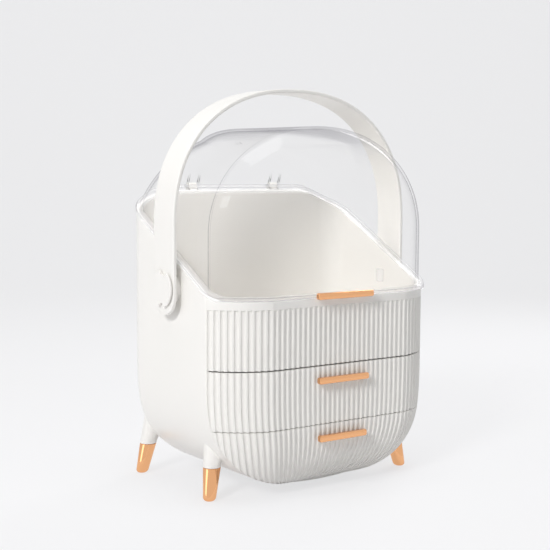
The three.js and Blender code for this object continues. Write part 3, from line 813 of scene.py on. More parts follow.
@dataclass
class FlutedFront(Piece):
    """The three fluted mouldings of the front."""

    depth: float = 1.8
    crest_share: float = 0.26
    sheet: float = 3.4
    edge: float = 0.5
    # Heights over the flutes' top, with the share of their depth: they run out softly
    runout: tuple[tuple[float, float], ...] = ((-0.7, 1.0), (-0.25, 0.72), (0.1, 0.0), (0.5, 0.0))
    band: tuple[float, ...] = (0.5, 1.0)
    plain_edge: float = 3.0
    least_step: float = 1.0
    flute_points: int = 11
    edge_points: int = 4
    upper_rows: int = 12
    belly_rows: int = 44

    def columns(self) -> tuple[Array, Array]:
        """Columns of the fluted surface.

        Each flute is a hollow circular arc between two flat crests.

        Returns:
            Flute steps from the middle and depths below the crests.
        """
        width = (1 - self.crest_share) / 2 * PLAN.pitch
        radius = (width**2 + self.depth**2) / (2 * self.depth)
        limit = math.asin(width / radius)
        angle = np.linspace(-limit, limit, self.flute_points)
        share = np.append(0.0, 0.5 + radius * np.sin(angle) / PLAN.pitch)
        deep = np.append(0.0, np.maximum(radius * np.cos(angle) - (radius - self.depth), 0.0))
        first = np.arange(-PLAN.reach, PLAN.reach)[:, None]
        steps = np.append((first + share).ravel(), PLAN.reach)
        return steps, np.append(np.tile(deep, len(first)), 0.0)

    def skin(self, z: Array, steps: Array, depths: Array, push: Array, inset: float) -> Array:
        """Grid of the front between heights, cut to the belly's section.

        Args:
            z: Heights of the rows.
            steps: Flute steps of the columns.
            depths: Depths below the crests, of every point.
            push: Distances by which rows lie further back.
            inset: Distance inside the belly's section.

        Returns:
            Grid of points.
        """
        height = np.repeat(z[:, None], len(steps), axis=1)
        x, y = PLAN.at(steps[None, :], depths)
        narrowing = 1.0 - CASE.belly_half(height) / CASE.half_width
        limit = CASE.belly_half(height, inset)
        across = np.clip(x * (1.0 - CASE.convergence_share * narrowing), -limit, limit)
        under = CASE.turn_under(height, CASE.lower_seam, CASE.front_turn, inset)
        back = np.minimum(y + under + push[:, None], PLAN.parting - CASE.gap)
        return np.stack([across, back, height], axis=-1)

    def wall(
        self, z: Array, push: Array, share: Array | float, inner_z: Array,
        band: Sequence[float] = (),
    ) -> Surface:
        """Closed wall of a moulding.

        Args:
            z: Heights of the rows.
            push: Distances by which rows lie further back.
            share: Share of the flute depth in each row.
            inner_z: Heights of the rows of the inner face.
            band: Shares of the way up to the rim at which smooth rows follow.

        Returns:
            The surface.
        """
        steps, depths = self.columns()
        fluted = np.broadcast_to(share, z.shape)[:, None] * depths
        outer = self.skin(z, steps, fluted, push, 0.0)
        inner = self.skin(inner_z, steps, np.full_like(fluted, self.sheet), 0 * push, CASE.wall)
        surface = Surface()
        surface.add_shell(CASE.up_to_rim(outer, band), CASE.up_to_rim(inner, band))
        return surface

    def rows(
        self, middle: Array, low: float | None = None, high: float | None = None
    ) -> tuple[Array, Array]:
        """Rows of a moulding, rounded at the edges that are given.

        Args:
            middle: Heights in between.
            low: Lower edge.
            high: Upper edge.

        Returns:
            Heights and the distances by which the rows lie further back.
        """
        turn = quarter(self.edge_points)
        rise, setback = self.edge * (1 - np.cos(turn)), self.edge * (1 - np.sin(turn))
        z, push = [middle], [0 * middle]
        if low is not None:
            z, push = [low + rise, *z], [setback, *push]
        if high is not None:
            z, push = [*z, high - rise[::-1]], [*push, setback[::-1]]
        return np.concatenate(z), np.concatenate(push)

    def upper_panel(self) -> None:
        """The fixed panel of the top compartment, with the smooth band at its rim."""
        over, deep = np.array(self.runout).T
        middle = np.append(CASE.straight_top, CASE.flute_top + over)
        z, push = self.rows(middle, low=CASE.upper_seam + CASE.upper_gap / 2)
        share = np.concatenate([np.ones(len(z) - len(deep)), deep])
        surface = self.wall(z, push, share, z, self.band)
        self.place(surface, "upper_front_fluted", "case", Slot.WHITE, "upper_front_panel")

    def upper_drawer(self) -> None:
        """The front of the upper drawer."""
        low = CASE.lower_seam + CASE.seam_gap / 2
        high = CASE.upper_seam - CASE.upper_gap / 2
        middle = np.linspace(low + self.plain_edge, high - self.plain_edge, self.upper_rows)
        z, push = self.rows(middle, low, high)
        surface = self.wall(z, push, 1.0, z)
        self.place(surface, "drawer_upper_fluted", "upper_drawer", Slot.WHITE, "drawer_upper_front")

    def lowest(self, inset: float, sheet: float) -> float:
        """Height at which a face of the lower front meets the parting plane.

        Args:
            inset: Distance inside the belly's section.
            sheet: Distance behind the flute crests.

        Returns:
            The height above the table.
        """
        stop = 1 - (PLAN.parting - CASE.gap - sheet) / CASE.front_turn
        return CASE.lower_seam - (CASE.lower_seam - CASE.lift - inset) * math.sqrt(1 - stop**2)

    def lower_drawer(self) -> None:
        """The front of the lower drawer, which turns under towards the table."""
        high = CASE.lower_seam - CASE.seam_gap / 2
        depth = CASE.lower_seam - CASE.lift
        first = math.asin((CASE.lower_seam - self.lowest(0.0, 0.0)) / depth)
        middle = CASE.lower_seam - depth * np.sin(np.linspace(first, 0.0, self.belly_rows))
        z, push = self.rows(middle[middle < high - self.edge - self.least_step], high=high)
        low = self.lowest(CASE.wall, self.sheet)
        inner_z = low + (z - z[0]) / (z[-1] - z[0]) * (z[-1] - low)
        surface = self.wall(z, push, 1.0, inner_z)
        self.place(surface, "drawer_lower_fluted", "lower_drawer", Slot.WHITE, "drawer_lower_front")


# Case


@dataclass
class CaseBody(Piece):
    """White case behind the fluted front, with its bosses, ledges, runners and knuckles."""

    edge: float = 3.0
    edge_fade: float = 20.0
    rim_rows: tuple[float, ...] = (0.25, 0.5, 0.75, 0.97, 1.0)
    boss_radius: float = 13.0
    boss_end: float = 127.5
    boss_edge: float = 0.8
    runner_half: tuple[float, float, float] = (2.0, 46.0, 3.0)
    runner_middle: tuple[float, float, float] = (35.0, 92.0, 11.2)
    runner_edge: float = 0.4
    ledge_width: float = 6.0
    ledge: float = 2.4
    ledge_setback: float = 0.5
    bite: float = 1.0
    belly_rows: int = 56
    straight_rows: int = 4
    edge_points: int = 5
    side_points: int = 10
    corner_points: int = 22
    back_points: int = 12
    boss_points: int = 64

    def hull(self, inset: float) -> Array:
        """Grid of the case's wall.

        Rows rise from the lowest line of the belly to the rim. Columns run from the left
        front edge round the back to the right front edge.

        Args:
            inset: Distance inside the outer faces.

        Returns:
            Grid of points.
        """
        wide = CASE.half_width - inset
        angle = quarter(self.belly_rows)[::-1]
        rise = (CASE.shoulder - CASE.lift - inset) * np.sin(angle) ** (2 / CASE.side_exponent)
        half = wide * np.cos(angle) ** (2 / CASE.flat_exponent)
        half[0] = 0.0
        upper = np.linspace(CASE.shoulder, CASE.straight_top, self.straight_rows)[1:]
        z = np.concatenate([CASE.shoulder - rise, upper])
        half = np.append(half, np.full(len(upper), wide))
        rear = CASE.turn_under(z, CASE.rear_turn_height, CASE.rear_turn, inset)
        radius = np.minimum(
            CASE.rear_radius - inset, half * 2 * CASE.rear_radius / CASE.half_width
        )
        grid = self.ring(half, CASE.depth - inset - rear, radius, z, inset)
        return CASE.up_to_rim(grid, self.rim_rows)

    def ring(self, half: Array, rear: Array, radius: Array, z: Array, inset: float) -> Array:
        """Plan of the case's wall at each height, open in front.

        From the rounded front edge a straight side runs to a quarter circle and the back.

        Args:
            half: Half widths.
            rear: Places of the back wall.
            radius: Radii of the rear corners.
            z: Heights.
            inset: Distance inside the outer faces.

        Returns:
            Grid of points.
        """
        h, b, r = half[:, None], rear[:, None], radius[:, None]
        turn = quarter(self.edge_points)
        soft = max(self.edge - inset, 0.0)
        edge_x = h - soft * (1 - np.sin(turn)) * np.minimum(h / self.edge_fade, 1.0)
        edge_y = PLAN.parting + soft * (1 - np.cos(turn)) + h * 0
        share = np.linspace(0.0, 1.0, self.side_points + 1)[1:]
        side_y = edge_y[:, -1:] + (b - r - edge_y[:, -1:]) * share
        corner = quarter(self.corner_points)[1:]
        corner_y = b - r + r * np.sin(corner)
        back_x = (h - r) * np.linspace(1.0, 0.0, self.back_points)[1:]
        x = np.concatenate([edge_x, h + side_y * 0, h - r + r * np.cos(corner), back_x], axis=1)
        y = np.concatenate([edge_y, side_y, corner_y, b + back_x * 0], axis=1)
        left = np.stack([-x, y, z[:, None] + x * 0], axis=-1)
        right = (left * [-1, 1, 1])[:, ::-1][:, 1:]
        return np.concatenate([left, right], axis=1)

    def shell(self) -> None:
        """The wall of the case with the pivot bosses and the runners inside it."""
        surface = Surface()
        surface.add_shell(self.hull(0.0), self.hull(CASE.wall))
        start = CASE.half_width - CASE.wall / 2
        profile = rounded_profile(self.boss_radius, start, self.boss_end, self.boss_edge)
        for side in Side:
            along = [(r, side.value * h) for r, h in profile]
            boss = lathe(along, "x", (0.0, CASE.pivot_y, CASE.pivot_z), self.boss_points)
            surface.add_grid(boss, wrap=True)
            middle = np.array(self.runner_middle) * [side.value, 1.0, 1.0]
            surface.add_grid(rounded_bar(self.runner_half, middle, self.runner_edge), wrap=True)
        self.place(surface, "case_moulding", "case", Slot.WHITE, "case_shell")

    def ledges(self) -> None:
        """Ledges that carry the drawer shelf and the compartment floor."""
        surface = Surface()
        for low in (CASE.lower_seam - CASE.gap - self.ledge, CASE.upper_seam + CASE.gap):
            side = CASE.half_width - float(CASE.belly_half(np.array(low), CASE.wall))
            radius = CASE.rear_radius - CASE.wall
            outer = self.plan_path(side - self.bite, CASE.wall - self.bite, radius)
            wide = self.ledge_width
            inner = self.plan_path(side + wide, CASE.wall + wide, radius - wide)
            high = low + self.ledge
            rows = [(outer, low), (outer, high), (inner, high), (inner, low), (outer, low)]
            grid = np.stack([np.column_stack([path, np.full(len(path), z)]) for path, z in rows])
            ends = surface.count + np.array([[0], [len(outer) - 1]]) + len(outer) * np.arange(4)
            surface.add_grid(grid)
            surface.faces.append(ends)
        self.place(surface, "case_ledges", "case", Slot.WHITE, "case_shell")

    def plan_path(self, side: float, back: float, radius: float) -> Array:
        """Path along the inside of the case from the left front round to the right front.

        Args:
            side: Distance inside the outer side faces.
            back: Distance inside the outer back face.
            radius: Radius of the rear corners.

        Returns:
            Array of x and y.
        """
        half = CASE.half_width - side
        turn = quarter(self.back_points)
        x = np.append(half, half - radius + radius * np.cos(turn))
        y = CASE.depth - back - radius + radius * np.sin(turn)
        right = np.stack([x, np.append(PLAN.parting + self.ledge_setback, y)], axis=1)
        return np.concatenate([right * [-1, 1], right[::-1]])

    def knuckles(self) -> None:
        """Hinge knuckles behind the back wall."""
        surface = Surface()
        rim, root = CASE.rear_rim, CASE.depth - self.bite
        pin_y = HINGE.pin[0]
        outline = [
            (root, rim - HINGE.knuckle_root),
            (pin_y + HINGE.barrel, rim - HINGE.knuckle_chin),
            *HINGE.arc(0.0, math.pi, HINGE.knuckle_points),
            (pin_y - HINGE.barrel, rim - CASE.gap),
            (root, rim - CASE.gap),
        ]
        for side in Side:
            middle = side.value * HINGE.spacing / 2
            surface.add_prism(outline, middle - HINGE.knuckle_half, middle + HINGE.knuckle_half)
        self.place(surface, "hinge_knuckles", "case", Slot.WHITE, "case_shell", sharp=30.0)


# Legs


@dataclass
class Legs(Piece):
    """Four leaning legs: white roots moulded to the belly and gilded caps."""

    half_spacing: float = 110.0
    front: float = 44.4
    rear: float = 163.0
    lean_x: float = 5.0
    lean_y: float = 3.6
    cap_height: float = 28.5
    cap_radius: float = 7.8
    cap_edge: float = 0.35
    foot_radius: float = 5.9
    tip: float = 3.6
    root_gap: float = 0.25
    root_step: float = 0.15
    root_height: float = 60.0
    root_radius: float = 9.3
    flare: float = 9.0
    flare_exponent: float = 1.6
    spread_exponent: float = 0.7
    around: int = 48
    root_rows: int = 20
    tip_rows: int = 12

    def leaning(
        self, profile: Profile, x: float, y: float, flare: Array | float = 0.0
    ) -> Array:
        """Turns a profile and leans it towards the middle of the case.

        Args:
            profile: Pairs of radius and height.
            x: Place of the foot across the case.
            y: Place of the foot from front to back.
            flare: Extra radius of each row on the side that faces the middle of the belly.

        Returns:
            Grid of points.
        """
        grid = lathe(profile, "z", (0.0, 0.0, 0.0), self.around)
        angle = np.linspace(0.0, 2 * math.pi, grid.shape[1], endpoint=False)
        toward_x, toward_y = -math.copysign(1.0, x), math.copysign(1.0, CASE.depth / 2 - y)
        inward = np.clip(toward_x * np.cos(angle), 0.0, 1.0) ** self.spread_exponent
        swell = np.atleast_1d(flare)[:, None] * inward
        lean = grid[..., 2] / self.cap_height
        grid[..., 0] += swell * np.cos(angle) + x + toward_x * self.lean_x * lean
        grid[..., 1] += swell * np.sin(angle) + y + toward_y * self.lean_y * lean
        return grid

    def root_profile(self) -> tuple[list, Array]:
        """Profile of a root, with the extra radius that each of its rows may get.

        Returns:
            Pairs of radius and height, and the extra radii.
        """
        rise = np.linspace(0.0, 1.0, self.root_rows)
        start = self.cap_height + self.root_gap
        height = start + (self.root_height - start) * rise
        radius = self.cap_radius - self.root_step + (self.root_radius - self.cap_radius) * rise
        profile = [(0.0, height[0]), *zip(radius, height), (0.0, height[-1])]
        return profile, np.concatenate([[0.0], self.flare * rise**self.flare_exponent, [0.0]])

    def cap_profile(self) -> Profile:
        """Profile of a cap, rounded at the tip.

        Returns:
            Pairs of radius and height.
        """
        base, top = self.foot_radius - self.tip, self.cap_height
        tip = [
            (base + self.tip * math.sin(a), self.tip * (1 - math.cos(a)))
            for a in quarter(self.tip_rows)
        ]
        rim = [(self.cap_radius, top - self.cap_edge), (self.cap_radius - self.cap_edge, top)]
        return [(0.0, 0.0), *tip, *rim, (0.0, top)]

    def build(self) -> None:
        """Makes the four caps and the four roots."""
        roots = Surface()
        root, flare = self.root_profile()
        for row, y in (("front", self.front), ("rear", self.rear)):
            for side in Side:
                x, name = side.value * self.half_spacing, f"{row}_{side.label}"
                roots.add_grid(self.leaning(root, x, y, flare), wrap=True)
                cap = Surface()
                cap.add_grid(self.leaning(self.cap_profile(), x, y), wrap=True)
                node = f"foot_cap_{name}"
                self.place(cap, f"foot_{name}_gilded", "case", Slot.GOLD, node, sharp=50.0)
        self.place(roots, "leg_roots", "case", Slot.WHITE, "case_shell")


# Drawers


@dataclass
class Drawers(Piece):
    """Pull bars, trays and screws of the two drawers; the lid's bar is made the same way."""

    bar_depth: float = 6.0
    bar_edge: float = 1.9

    def bar(self, level: str, node: str, body: str) -> None:
        """A gilded pull bar in the place of its CAD node.

        Args:
            level: What the bar pulls, for the name of the piece.
            node: CAD node of the bar.
            body: CAD body that it rides on.
        """
        low, high = node_box(node)
        high[1] = min(high[1], low[1] + self.bar_depth)
        surface = Surface()
        surface.add_grid(rounded_bar((high - low) / 2, (high + low) / 2, self.bar_edge), wrap=True)
        self.place(surface, f"{level}_pull", body, Slot.GOLD, node, sharp=60.0)

    def build(self) -> None:
        """Makes the bars and dresses the trays and screws."""
        for level in ("upper", "lower"):
            self.bar(f"drawer_{level}", f"drawer_{level}_bar", f"{level}_drawer")
            self.finishes.dress_node(f"drawer_{level}_tray", Slot.TRAY)
            for side in Side:
                self.finishes.dress_node(f"drawer_{level}_screw_{side.label}", Slot.STEEL)
        self.bar("lid", "lid_bar", "lid")


# Lid


@dataclass
class Lid(Piece):
    """Clear vaulted lid, one wall from its flange to the ridge."""

    inset: float = 2.5
    wall: float = 2.2
    spring: float = 231.0
    top: float = 325.6
    front_exponent: float = 2.1
    front_blend: float = 1.12
    rear_exponent: float = 2.72
    turn: float = 32.0
    turn_exponent: float = 5.0
    row_exponent: float = 1.25
    ridge_share: float = 0.9985
    corner_share: float = 0.98
    crease: float = 3.2
    flange: float = 3.4
    overhang: float = 2.6
    inner_width: float = 1.5
    flange_radius: float = 32.0
    rounding: float = 0.8
    # Painted grey shade that stands for the dark outline that refraction draws: across the crease,
    # and on the flange's upper and lower edge
    crease_lines: tuple[float, ...] = (0.0, 0.3, 1.0, 1.0, 0.3, 0.0)
    upper_line: float = 1.0
    lower_line: float = 0.5
    fade: float = 3.0
    ear_gap: float = 0.1
    ear_bite: float = 0.15
    vault_rows: int = 64
    edge_points: int = 4
    front_points: int = 26
    crease_points: int = 7
    side_points: int = 16
    corner_points: int = 24

    def front_line(self, inset: float, crease: float) -> Array:
        """Front curve with a small arc where it turns into the side.

        The arc touches the corner arc of the plan and the side wall.

        Args:
            inset: Distance inside the case's outer faces.
            crease: Radius of the small arc.

        Returns:
            Array of x and y, from left to right.
        """
        cx, cy = PLAN.centre
        radius = PLAN.radius - inset
        half = CASE.half_width - inset
        first = math.acos((cy - inset) / radius)
        last = math.asin((half - crease - cx) / (radius - crease))
        sweep = np.linspace(first, last, self.front_points)
        small = np.linspace(last, QUARTER, self.crease_points)[1:]
        fx = cx + (radius - crease) * math.sin(last)
        fy = cy - (radius - crease) * math.cos(last)
        x = np.append(cx + radius * np.sin(sweep), fx + crease * np.sin(small))
        y = np.append(cy - radius * np.cos(sweep), fy - crease * np.cos(small))
        middle = np.linspace(-x[0], x[0], self.front_points)[1:-1]
        right = np.stack([x, y], axis=1)
        flat = np.stack([middle, np.full_like(middle, inset)], axis=1)
        return np.concatenate([right[::-1] * [-1, 1], flat, right])

    def weights(self, inset: float, crease: float) -> Array:
        """Weights that place every column of the lid at any level.

        Columns run along the front, up the right side, round the back and down the left side.
        A point is x = a bow + b width + c radius and y = d + e depth + f back + g radius.

        Args:
            inset: Distance inside the case's outer faces.
            crease: Radius between the front and the sides.

        Returns:
            Array of seven rows, from a to g, with one column for each column of the lid.
        """
        x, y = self.front_line(inset, crease).T
        half = CASE.half_width - inset
        edge = PLAN.parting_at(inset)
        s = np.linspace(0.0, 1.0, self.side_points)[1:-1]
        angle = quarter(self.corner_points)
        t = np.linspace(1.0, -1.0, self.front_points)[1:-1]
        front, side, corner, back = (np.stack(np.broadcast_arrays(*part)) for part in (
            (x, 0.0, 0.0, edge, y - edge, 0.0, 0.0),
            ((1 - s) * half, s, 0.0, (1 - s) * edge, (1 - s) * (y[-1] - edge), s, -s),
            (0.0, 1.0, np.cos(angle) - 1, 0.0, 0.0, 1.0, np.sin(angle) - 1),
            (0.0, t, -t, 0.0, 0.0, 1.0, 0.0),
        ))
        mirror = np.array([-1, -1, -1, 1, 1, 1, 1])[:, None]
        left = [(part * mirror)[:, ::-1] for part in (corner, side)]
        return np.concatenate([front, side, corner, back, *left], axis=1)

    def level(self, z: Array, inset: float, crease: float) -> Array:
        """Points of the vault at given heights.

        The front arch and the rear section are superellipses, the back turns over in another,
        the front bows less with the height, and the rear corners grow rounder.

        Args:
            z: Heights, as rows and columns.
            inset: Distance inside the outer faces of the lid.
            crease: Radius between the front and the sides.

        Returns:
            Grid of points.
        """
        top = self.top - inset
        side = self.inset + inset
        share = np.clip((z - self.spring) / (top - self.spring), 0.0, 1.0)
        bow = (1 - share**self.front_exponent) ** (1 / self.front_exponent)
        blend = self.front_blend
        depth = (1 - share ** (self.front_exponent * blend)) ** (1 / blend)
        width = (1 - share**self.rear_exponent) ** (1 / self.rear_exponent)
        width = width * (CASE.half_width - side)
        rise = np.clip((z - CASE.rear_rim) / (top - CASE.rear_rim), 0.0, 1.0)
        over = 1 - rise**self.turn_exponent * self.ridge_share
        back = CASE.depth - side - self.turn * (1 - over ** (1 / self.turn_exponent))
        growth = np.maximum(z - CASE.rear_rim + CASE.rim_crown, 0.0)
        radius = np.minimum(CASE.rear_radius - side + growth, width * self.corner_share)
        return self.combine(self.weights(side, crease), z, (bow, depth, width, back, radius))

    @staticmethod
    def combine(weights: Array, z: Array | float, sizes: Sequence[Array | float]) -> Array:
        """Puts the weights and the sizes of each level together.

        Args:
            weights: Weights of the columns.
            z: Heights.
            sizes: Share of the front's width, share of its bow, half width at the back,
                place of the back and radius of the rear corners.

        Returns:
            Grid of points.
        """
        a, b, c, d, e, f, g = weights
        bow, depth, width, back, radius = sizes
        x = a * bow + b * width + c * radius
        y = d + e * depth + f * back + g * radius
        return np.stack([x, y, z + 0 * x], axis=-1)

    def vault(self, inset: float, crease: float, foot: float) -> Array:
        """Grid of the vault from above the flange to the ridge.

        Args:
            inset: Distance inside the outer faces of the lid.
            crease: Radius between the front and the sides.
            foot: Height of the first row above the rim.

        Returns:
            Grid of points.
        """
        side = self.inset + inset
        base = self.rim_row(side, crease, CASE.rear_radius - side, foot)[..., 2]
        angle = quarter(self.vault_rows)[:, None]
        share = 1 - (1 - np.sin(angle)) ** self.row_exponent
        return self.level(base + (self.top - inset - base) * share, inset, crease)

    def rim_row(self, inset: float, crease: float, radius: float, height: float) -> Array:
        """One row that follows the rim.

        Args:
            inset: Distance inside the case's outer faces, negative outside.
            crease: Radius between the front and the sides.
            radius: Radius of the rear corners.
            height: Height above the rim.

        Returns:
            Grid of one row.
        """
        sizes = (1.0, 1.0, CASE.half_width - inset, CASE.depth - inset, radius)
        row = self.combine(self.weights(inset, crease), 0.0, sizes)[None]
        row[..., 2] = CASE.rim(row[..., 0], row[..., 1]) + height
        return row

    def flange_rows(self) -> list[Array]:
        """Rows of the flange, from the foot of the vault round to the inside of the lid.

        Returns:
            Rows of the hollow, of the upper and lower rounded edge, and of the inner face.
        """
        low, high, r = CASE.gap, CASE.gap + self.flange, self.rounding
        out, inner = -self.overhang, self.inset + self.wall + self.inner_width
        side, corner = self.inset, CASE.rear_radius
        crease, outer, inside = self.crease, self.crease + side - out, self.crease - self.wall
        turn = quarter(self.edge_points)
        soft, hard = r * (1 - np.cos(turn)), r * (1 - np.sin(turn))
        around = self.flange_radius
        hollow = [(side - s, crease, corner - side, high + h) for s, h in zip(soft, hard)]
        path = hollow[1:]
        path += [(out + h, outer, around, high - s) for s, h in zip(soft, hard)]
        path += [(out + s, outer, around, low + h) for s, h in zip(soft, hard)]
        path += [(inner, inside, corner - inner, z) for z in (low, high - r)]
        path += [(inner - r / 2, inside, corner - inner, high)]
        return [self.rim_row(*place) for place in path]

    def build(self) -> None:
        """Makes the lid's wall with its flange in one surface."""
        foot = CASE.gap + self.flange + self.rounding
        outer = self.vault(0.0, self.crease, foot)[::-1]
        flange = self.flange_rows()
        inner = self.vault(self.wall, self.crease - self.wall, foot)
        grid = np.concatenate([outer, *flange, inner])
        # Painted marks: the flange gets a painted white glow, its rounded edges and the crease get
        # painted grey shade, faded out below the ridge
        rim, shaded_edges = np.zeros((2, len(grid)))
        rim[len(outer) : len(outer) + len(flange)] = 1.0
        # The middle rows of each rounded edge, which follow those of the hollow
        upper = len(outer) + self.edge_points - 1
        lower = upper + self.edge_points
        shaded_edges[upper + 1 : lower - 1] = self.upper_line
        shaded_edges[lower + 1 : lower + self.edge_points - 1] = self.lower_line
        below = np.clip((self.top - grid[..., 2]) / self.fade - 1.0, 0.0, 1.0)
        folds = self.crease_marks(grid.shape[1]) * below
        fold = np.where(rim[:, None] > 0, shaded_edges[:, None], folds)
        rim[shaded_edges > 0] = 0.0
        surface = Surface()
        surface.add_grid(grid, wrap=True, fold=fold, rim=rim[:, None])
        self.place(surface, "lid_vault", "lid", Slot.CLEAR, "lid_shell", sharp=50.0)

    def crease_marks(self, columns: int) -> Array:
        """Marks the crease columns between the front and the sides for painted grey shade.

        Args:
            columns: Number of columns of the lid.

        Returns:
            One row of marks from 0 to 1.
        """
        reach = len(self.crease_lines)
        front = len(self.front_line(0.0, self.crease))
        marks = np.zeros((1, columns))
        marks[:, :reach] = marks[:, front - reach : front] = self.crease_lines
        return marks

    def ears(self) -> None:
        """Clear hinge prongs on the lid's back, each a slim hook round its pin."""
        surface = Surface()
        pin_y, pin_z = HINGE.pin
        front = CASE.depth - self.inset + self.ear_bite
        foot = CASE.rear_rim + CASE.gap + self.flange + self.ear_gap
        outline = [
            (front, foot),
            (pin_y - HINGE.barrel, foot),
            *HINGE.arc(HINGE.ear_start, 2 * math.pi, HINGE.ear_points),
            (pin_y + HINGE.ear_tip, pin_z + HINGE.barrel),
            *((front + y, foot + z) for y, z in HINGE.ear_back),
        ]
        for side in Side:
            for end in (-1, 1):
                middle = side.value * HINGE.spacing / 2
                near = middle + end * (HINGE.knuckle_half + CASE.gap)
                surface.add_prism(outline, *sorted((near, near + end * HINGE.ear)))
        self.place(surface, "lid_hinge_ears", "lid", Slot.CLEAR, "lid_shell", sharp=30.0)
        for side in Side:
            self.finishes.dress_node(f"hinge_pin_{side.label}", Slot.STEEL)


# Handle


@dataclass
class Handle(Piece):
    """Flat bail handle with its round pivots."""

    half_width: float = 131.4
    top: float = 360.0
    spring: float = 239.0
    exponent: float = 2.26
    thickness: float = 3.6
    width: float = 34.0
    drop: float = 6.0
    edge: float = 1.1
    cap_radius: float = 16.5
    cap: float = 2.52
    cap_edge: float = 0.5
    crown: float = 0.08
    collar: float = 0.9
    undercut: float = 1.3
    pin_radius: float = 5.0
    pin_end: float = 119.6
    # Middle and half width in degrees from the top towards the front, and depth
    notches: tuple[tuple[float, float, float], ...] = ((12.0, 20.0, 3.4), (180.0, 13.0, 4.0))
    notch_flank: float = 3.0
    clip_share: float = 0.72
    clip_edge: float = 0.9
    # Painted grey shade that the clip gets all over
    clip_fold: float = 0.15
    crown_start: float = 1.0
    crown_step: float = 3.0
    crown_steps: int = 4
    end_points: int = 14
    leg_points: int = 8
    arch_points: int = 90
    flat_points: int = 6
    round_points: int = 6
    cap_points: int = 144

    def strap(self) -> Surface:
        """The strap: a rounded oblong carried along the arch, with round ends.

        Each leg is straight up to the spring line, and the arch is a superellipse.

        Returns:
            The surface.
        """
        wide, middle = self.width / 2, self.half_width - self.thickness / 2
        low = CASE.pivot_z - self.drop
        end = quarter(self.end_points)
        straight = np.linspace(low, self.spring, self.leg_points + 2)[1:-1]
        leg_z = np.append(low - wide + wide * (1 - np.cos(end)), straight)
        leg_half = np.append(wide * np.sin(end), np.full(len(straight), wide))
        arch = np.linspace(0.0, math.pi, self.arch_points)
        power = 2 / self.exponent
        arch_x = -middle * np.sign(np.cos(arch)) * np.abs(np.cos(arch)) ** power
        rise = self.top - self.thickness / 2 - self.spring
        arch_z = self.spring + rise * np.abs(np.sin(arch)) ** power
        side = np.full(len(leg_z), middle)
        x = np.concatenate([-side, arch_x, side])
        z = np.concatenate([leg_z, arch_z, leg_z[::-1]])
        half = np.concatenate([leg_half, np.full(len(arch), wide), leg_half[::-1]])
        tangent = np.gradient(np.stack([x, z], axis=1), axis=0)
        tangent[: len(leg_z)] = [0.0, 1.0]
        tangent[-len(leg_z) :] = [0.0, -1.0]
        tangent /= np.linalg.norm(tangent, axis=1, keepdims=True)
        across, out = self.section()
        shift = out * self.thickness / 2
        y = CASE.pivot_y + across * half[:, None]
        px, pz = x[:, None] - tangent[:, 1:] * shift, z[:, None] + tangent[:, :1] * shift
        surface = Surface()
        surface.add_grid(np.stack([px, y, pz], axis=-1), wrap=True)
        return surface

    def section(self) -> tuple[Array, Array]:
        """Cross-section of the strap: an oblong with its corners rounded.

        Returns:
            Shares of the half width and of the half thickness.
        """
        turn = quarter(self.round_points)
        reach = 1 - self.edge / (self.width / 2)
        rise = 1 - self.edge / (self.thickness / 2)
        bend = reach + (1 - reach) * np.cos(turn)
        flat = np.linspace(reach, -reach, self.flat_points + 2)[1:-1]
        across = np.concatenate([bend, flat, -bend[::-1]])
        bend = rise + (1 - rise) * np.sin(turn)
        out = np.concatenate([bend, flat * 0 + 1, bend[::-1]])
        return np.append(across, -across), np.append(out, -out)

    def cap_profile(self) -> Profile:
        """Profile of a pivot: its pin, the undercut, the cap's edge and a slight crown.

        Returns:
            Pairs of radius and distance from the middle of the case.
        """
        start = self.half_width + CASE.gap
        neck, face = self.cap_radius - self.undercut, start + self.cap
        round_edge = [
            (self.cap_radius - self.cap_edge * (1 - math.sin(a)),
             face - self.cap_edge * (1 - math.cos(a)))
            for a in quarter(self.round_points)[::-1]
        ]
        flat = self.cap_radius - self.crown_start
        crown = [
            (flat - k * self.crown_step, face + self.crown * k / self.crown_steps)
            for k in range(self.crown_steps + 1)
        ]
        return [
            (0.0, self.pin_end), (self.pin_radius, self.pin_end), (self.pin_radius, start),
            (neck, start), (neck, start + self.collar), (self.cap_radius, start + self.collar),
            *round_edge, *crown, (0.0, face + self.crown),
        ]

    def notched(self, grid: Array) -> Array:
        """Cuts two notches into the rim of a pivot cap and moves it to its place.

        Args:
            grid: Grid of the cap, turned round the x axis.

        Returns:
            The same grid with less radius at the notches.
        """
        x, y, z = np.moveaxis(grid, -1, 0)
        radius = np.maximum(np.hypot(y, z), 1e-6)
        turned = np.degrees(np.arctan2(-y, z))
        limit = np.full_like(radius, self.cap_radius)
        for middle, reach, depth in self.notches:
            away = np.abs((turned - middle + 180.0) % 360.0 - 180.0)
            limit -= depth * np.clip((reach - away) / self.notch_flank, 0.0, 1.0)
        share = np.minimum(1.0, limit / radius)
        return np.stack([x, y * share + CASE.pivot_y, z * share + CASE.pivot_z], axis=-1)

    def pivot(self, side: Side) -> None:
        """The pivot of one side, and the small clip that holds it inside the case.

        Args:
            side: The side of the case.
        """
        name = side.label
        profile = [(r, side.value * h) for r, h in self.cap_profile()]
        surface = Surface()
        cap = lathe(profile, "x", (0.0, 0.0, 0.0), self.cap_points)
        surface.add_grid(self.notched(cap), wrap=True)
        self.place(
            surface, f"pivot_{name}_cap", "case", Slot.WHITE, f"handle_pivot_{name}", sharp=50.0
        )
        low, high = node_box(f"pivot_retainer_{name}")
        half = (high - low) / 2 * [1.0, self.clip_share, 1.0]
        clip = Surface()
        grid = rounded_bar(half, (high + low) / 2, self.clip_edge)
        # The clip gets painted grey shade all over and the full painted white glow
        clip.add_grid(grid, wrap=True, fold=self.clip_fold, rim=1.0)
        self.place(
            clip, f"pivot_{name}_clip", "case", Slot.CLEAR, f"pivot_retainer_{name}", sharp=50.0
        )

    def build(self) -> None:
        """Makes the strap and both pivots."""
        self.place(self.strap(), "bail_strap", "handle", Slot.WHITE, "bail_handle", sharp=60.0)
        for side in Side:
            self.pivot(side)


# Studio


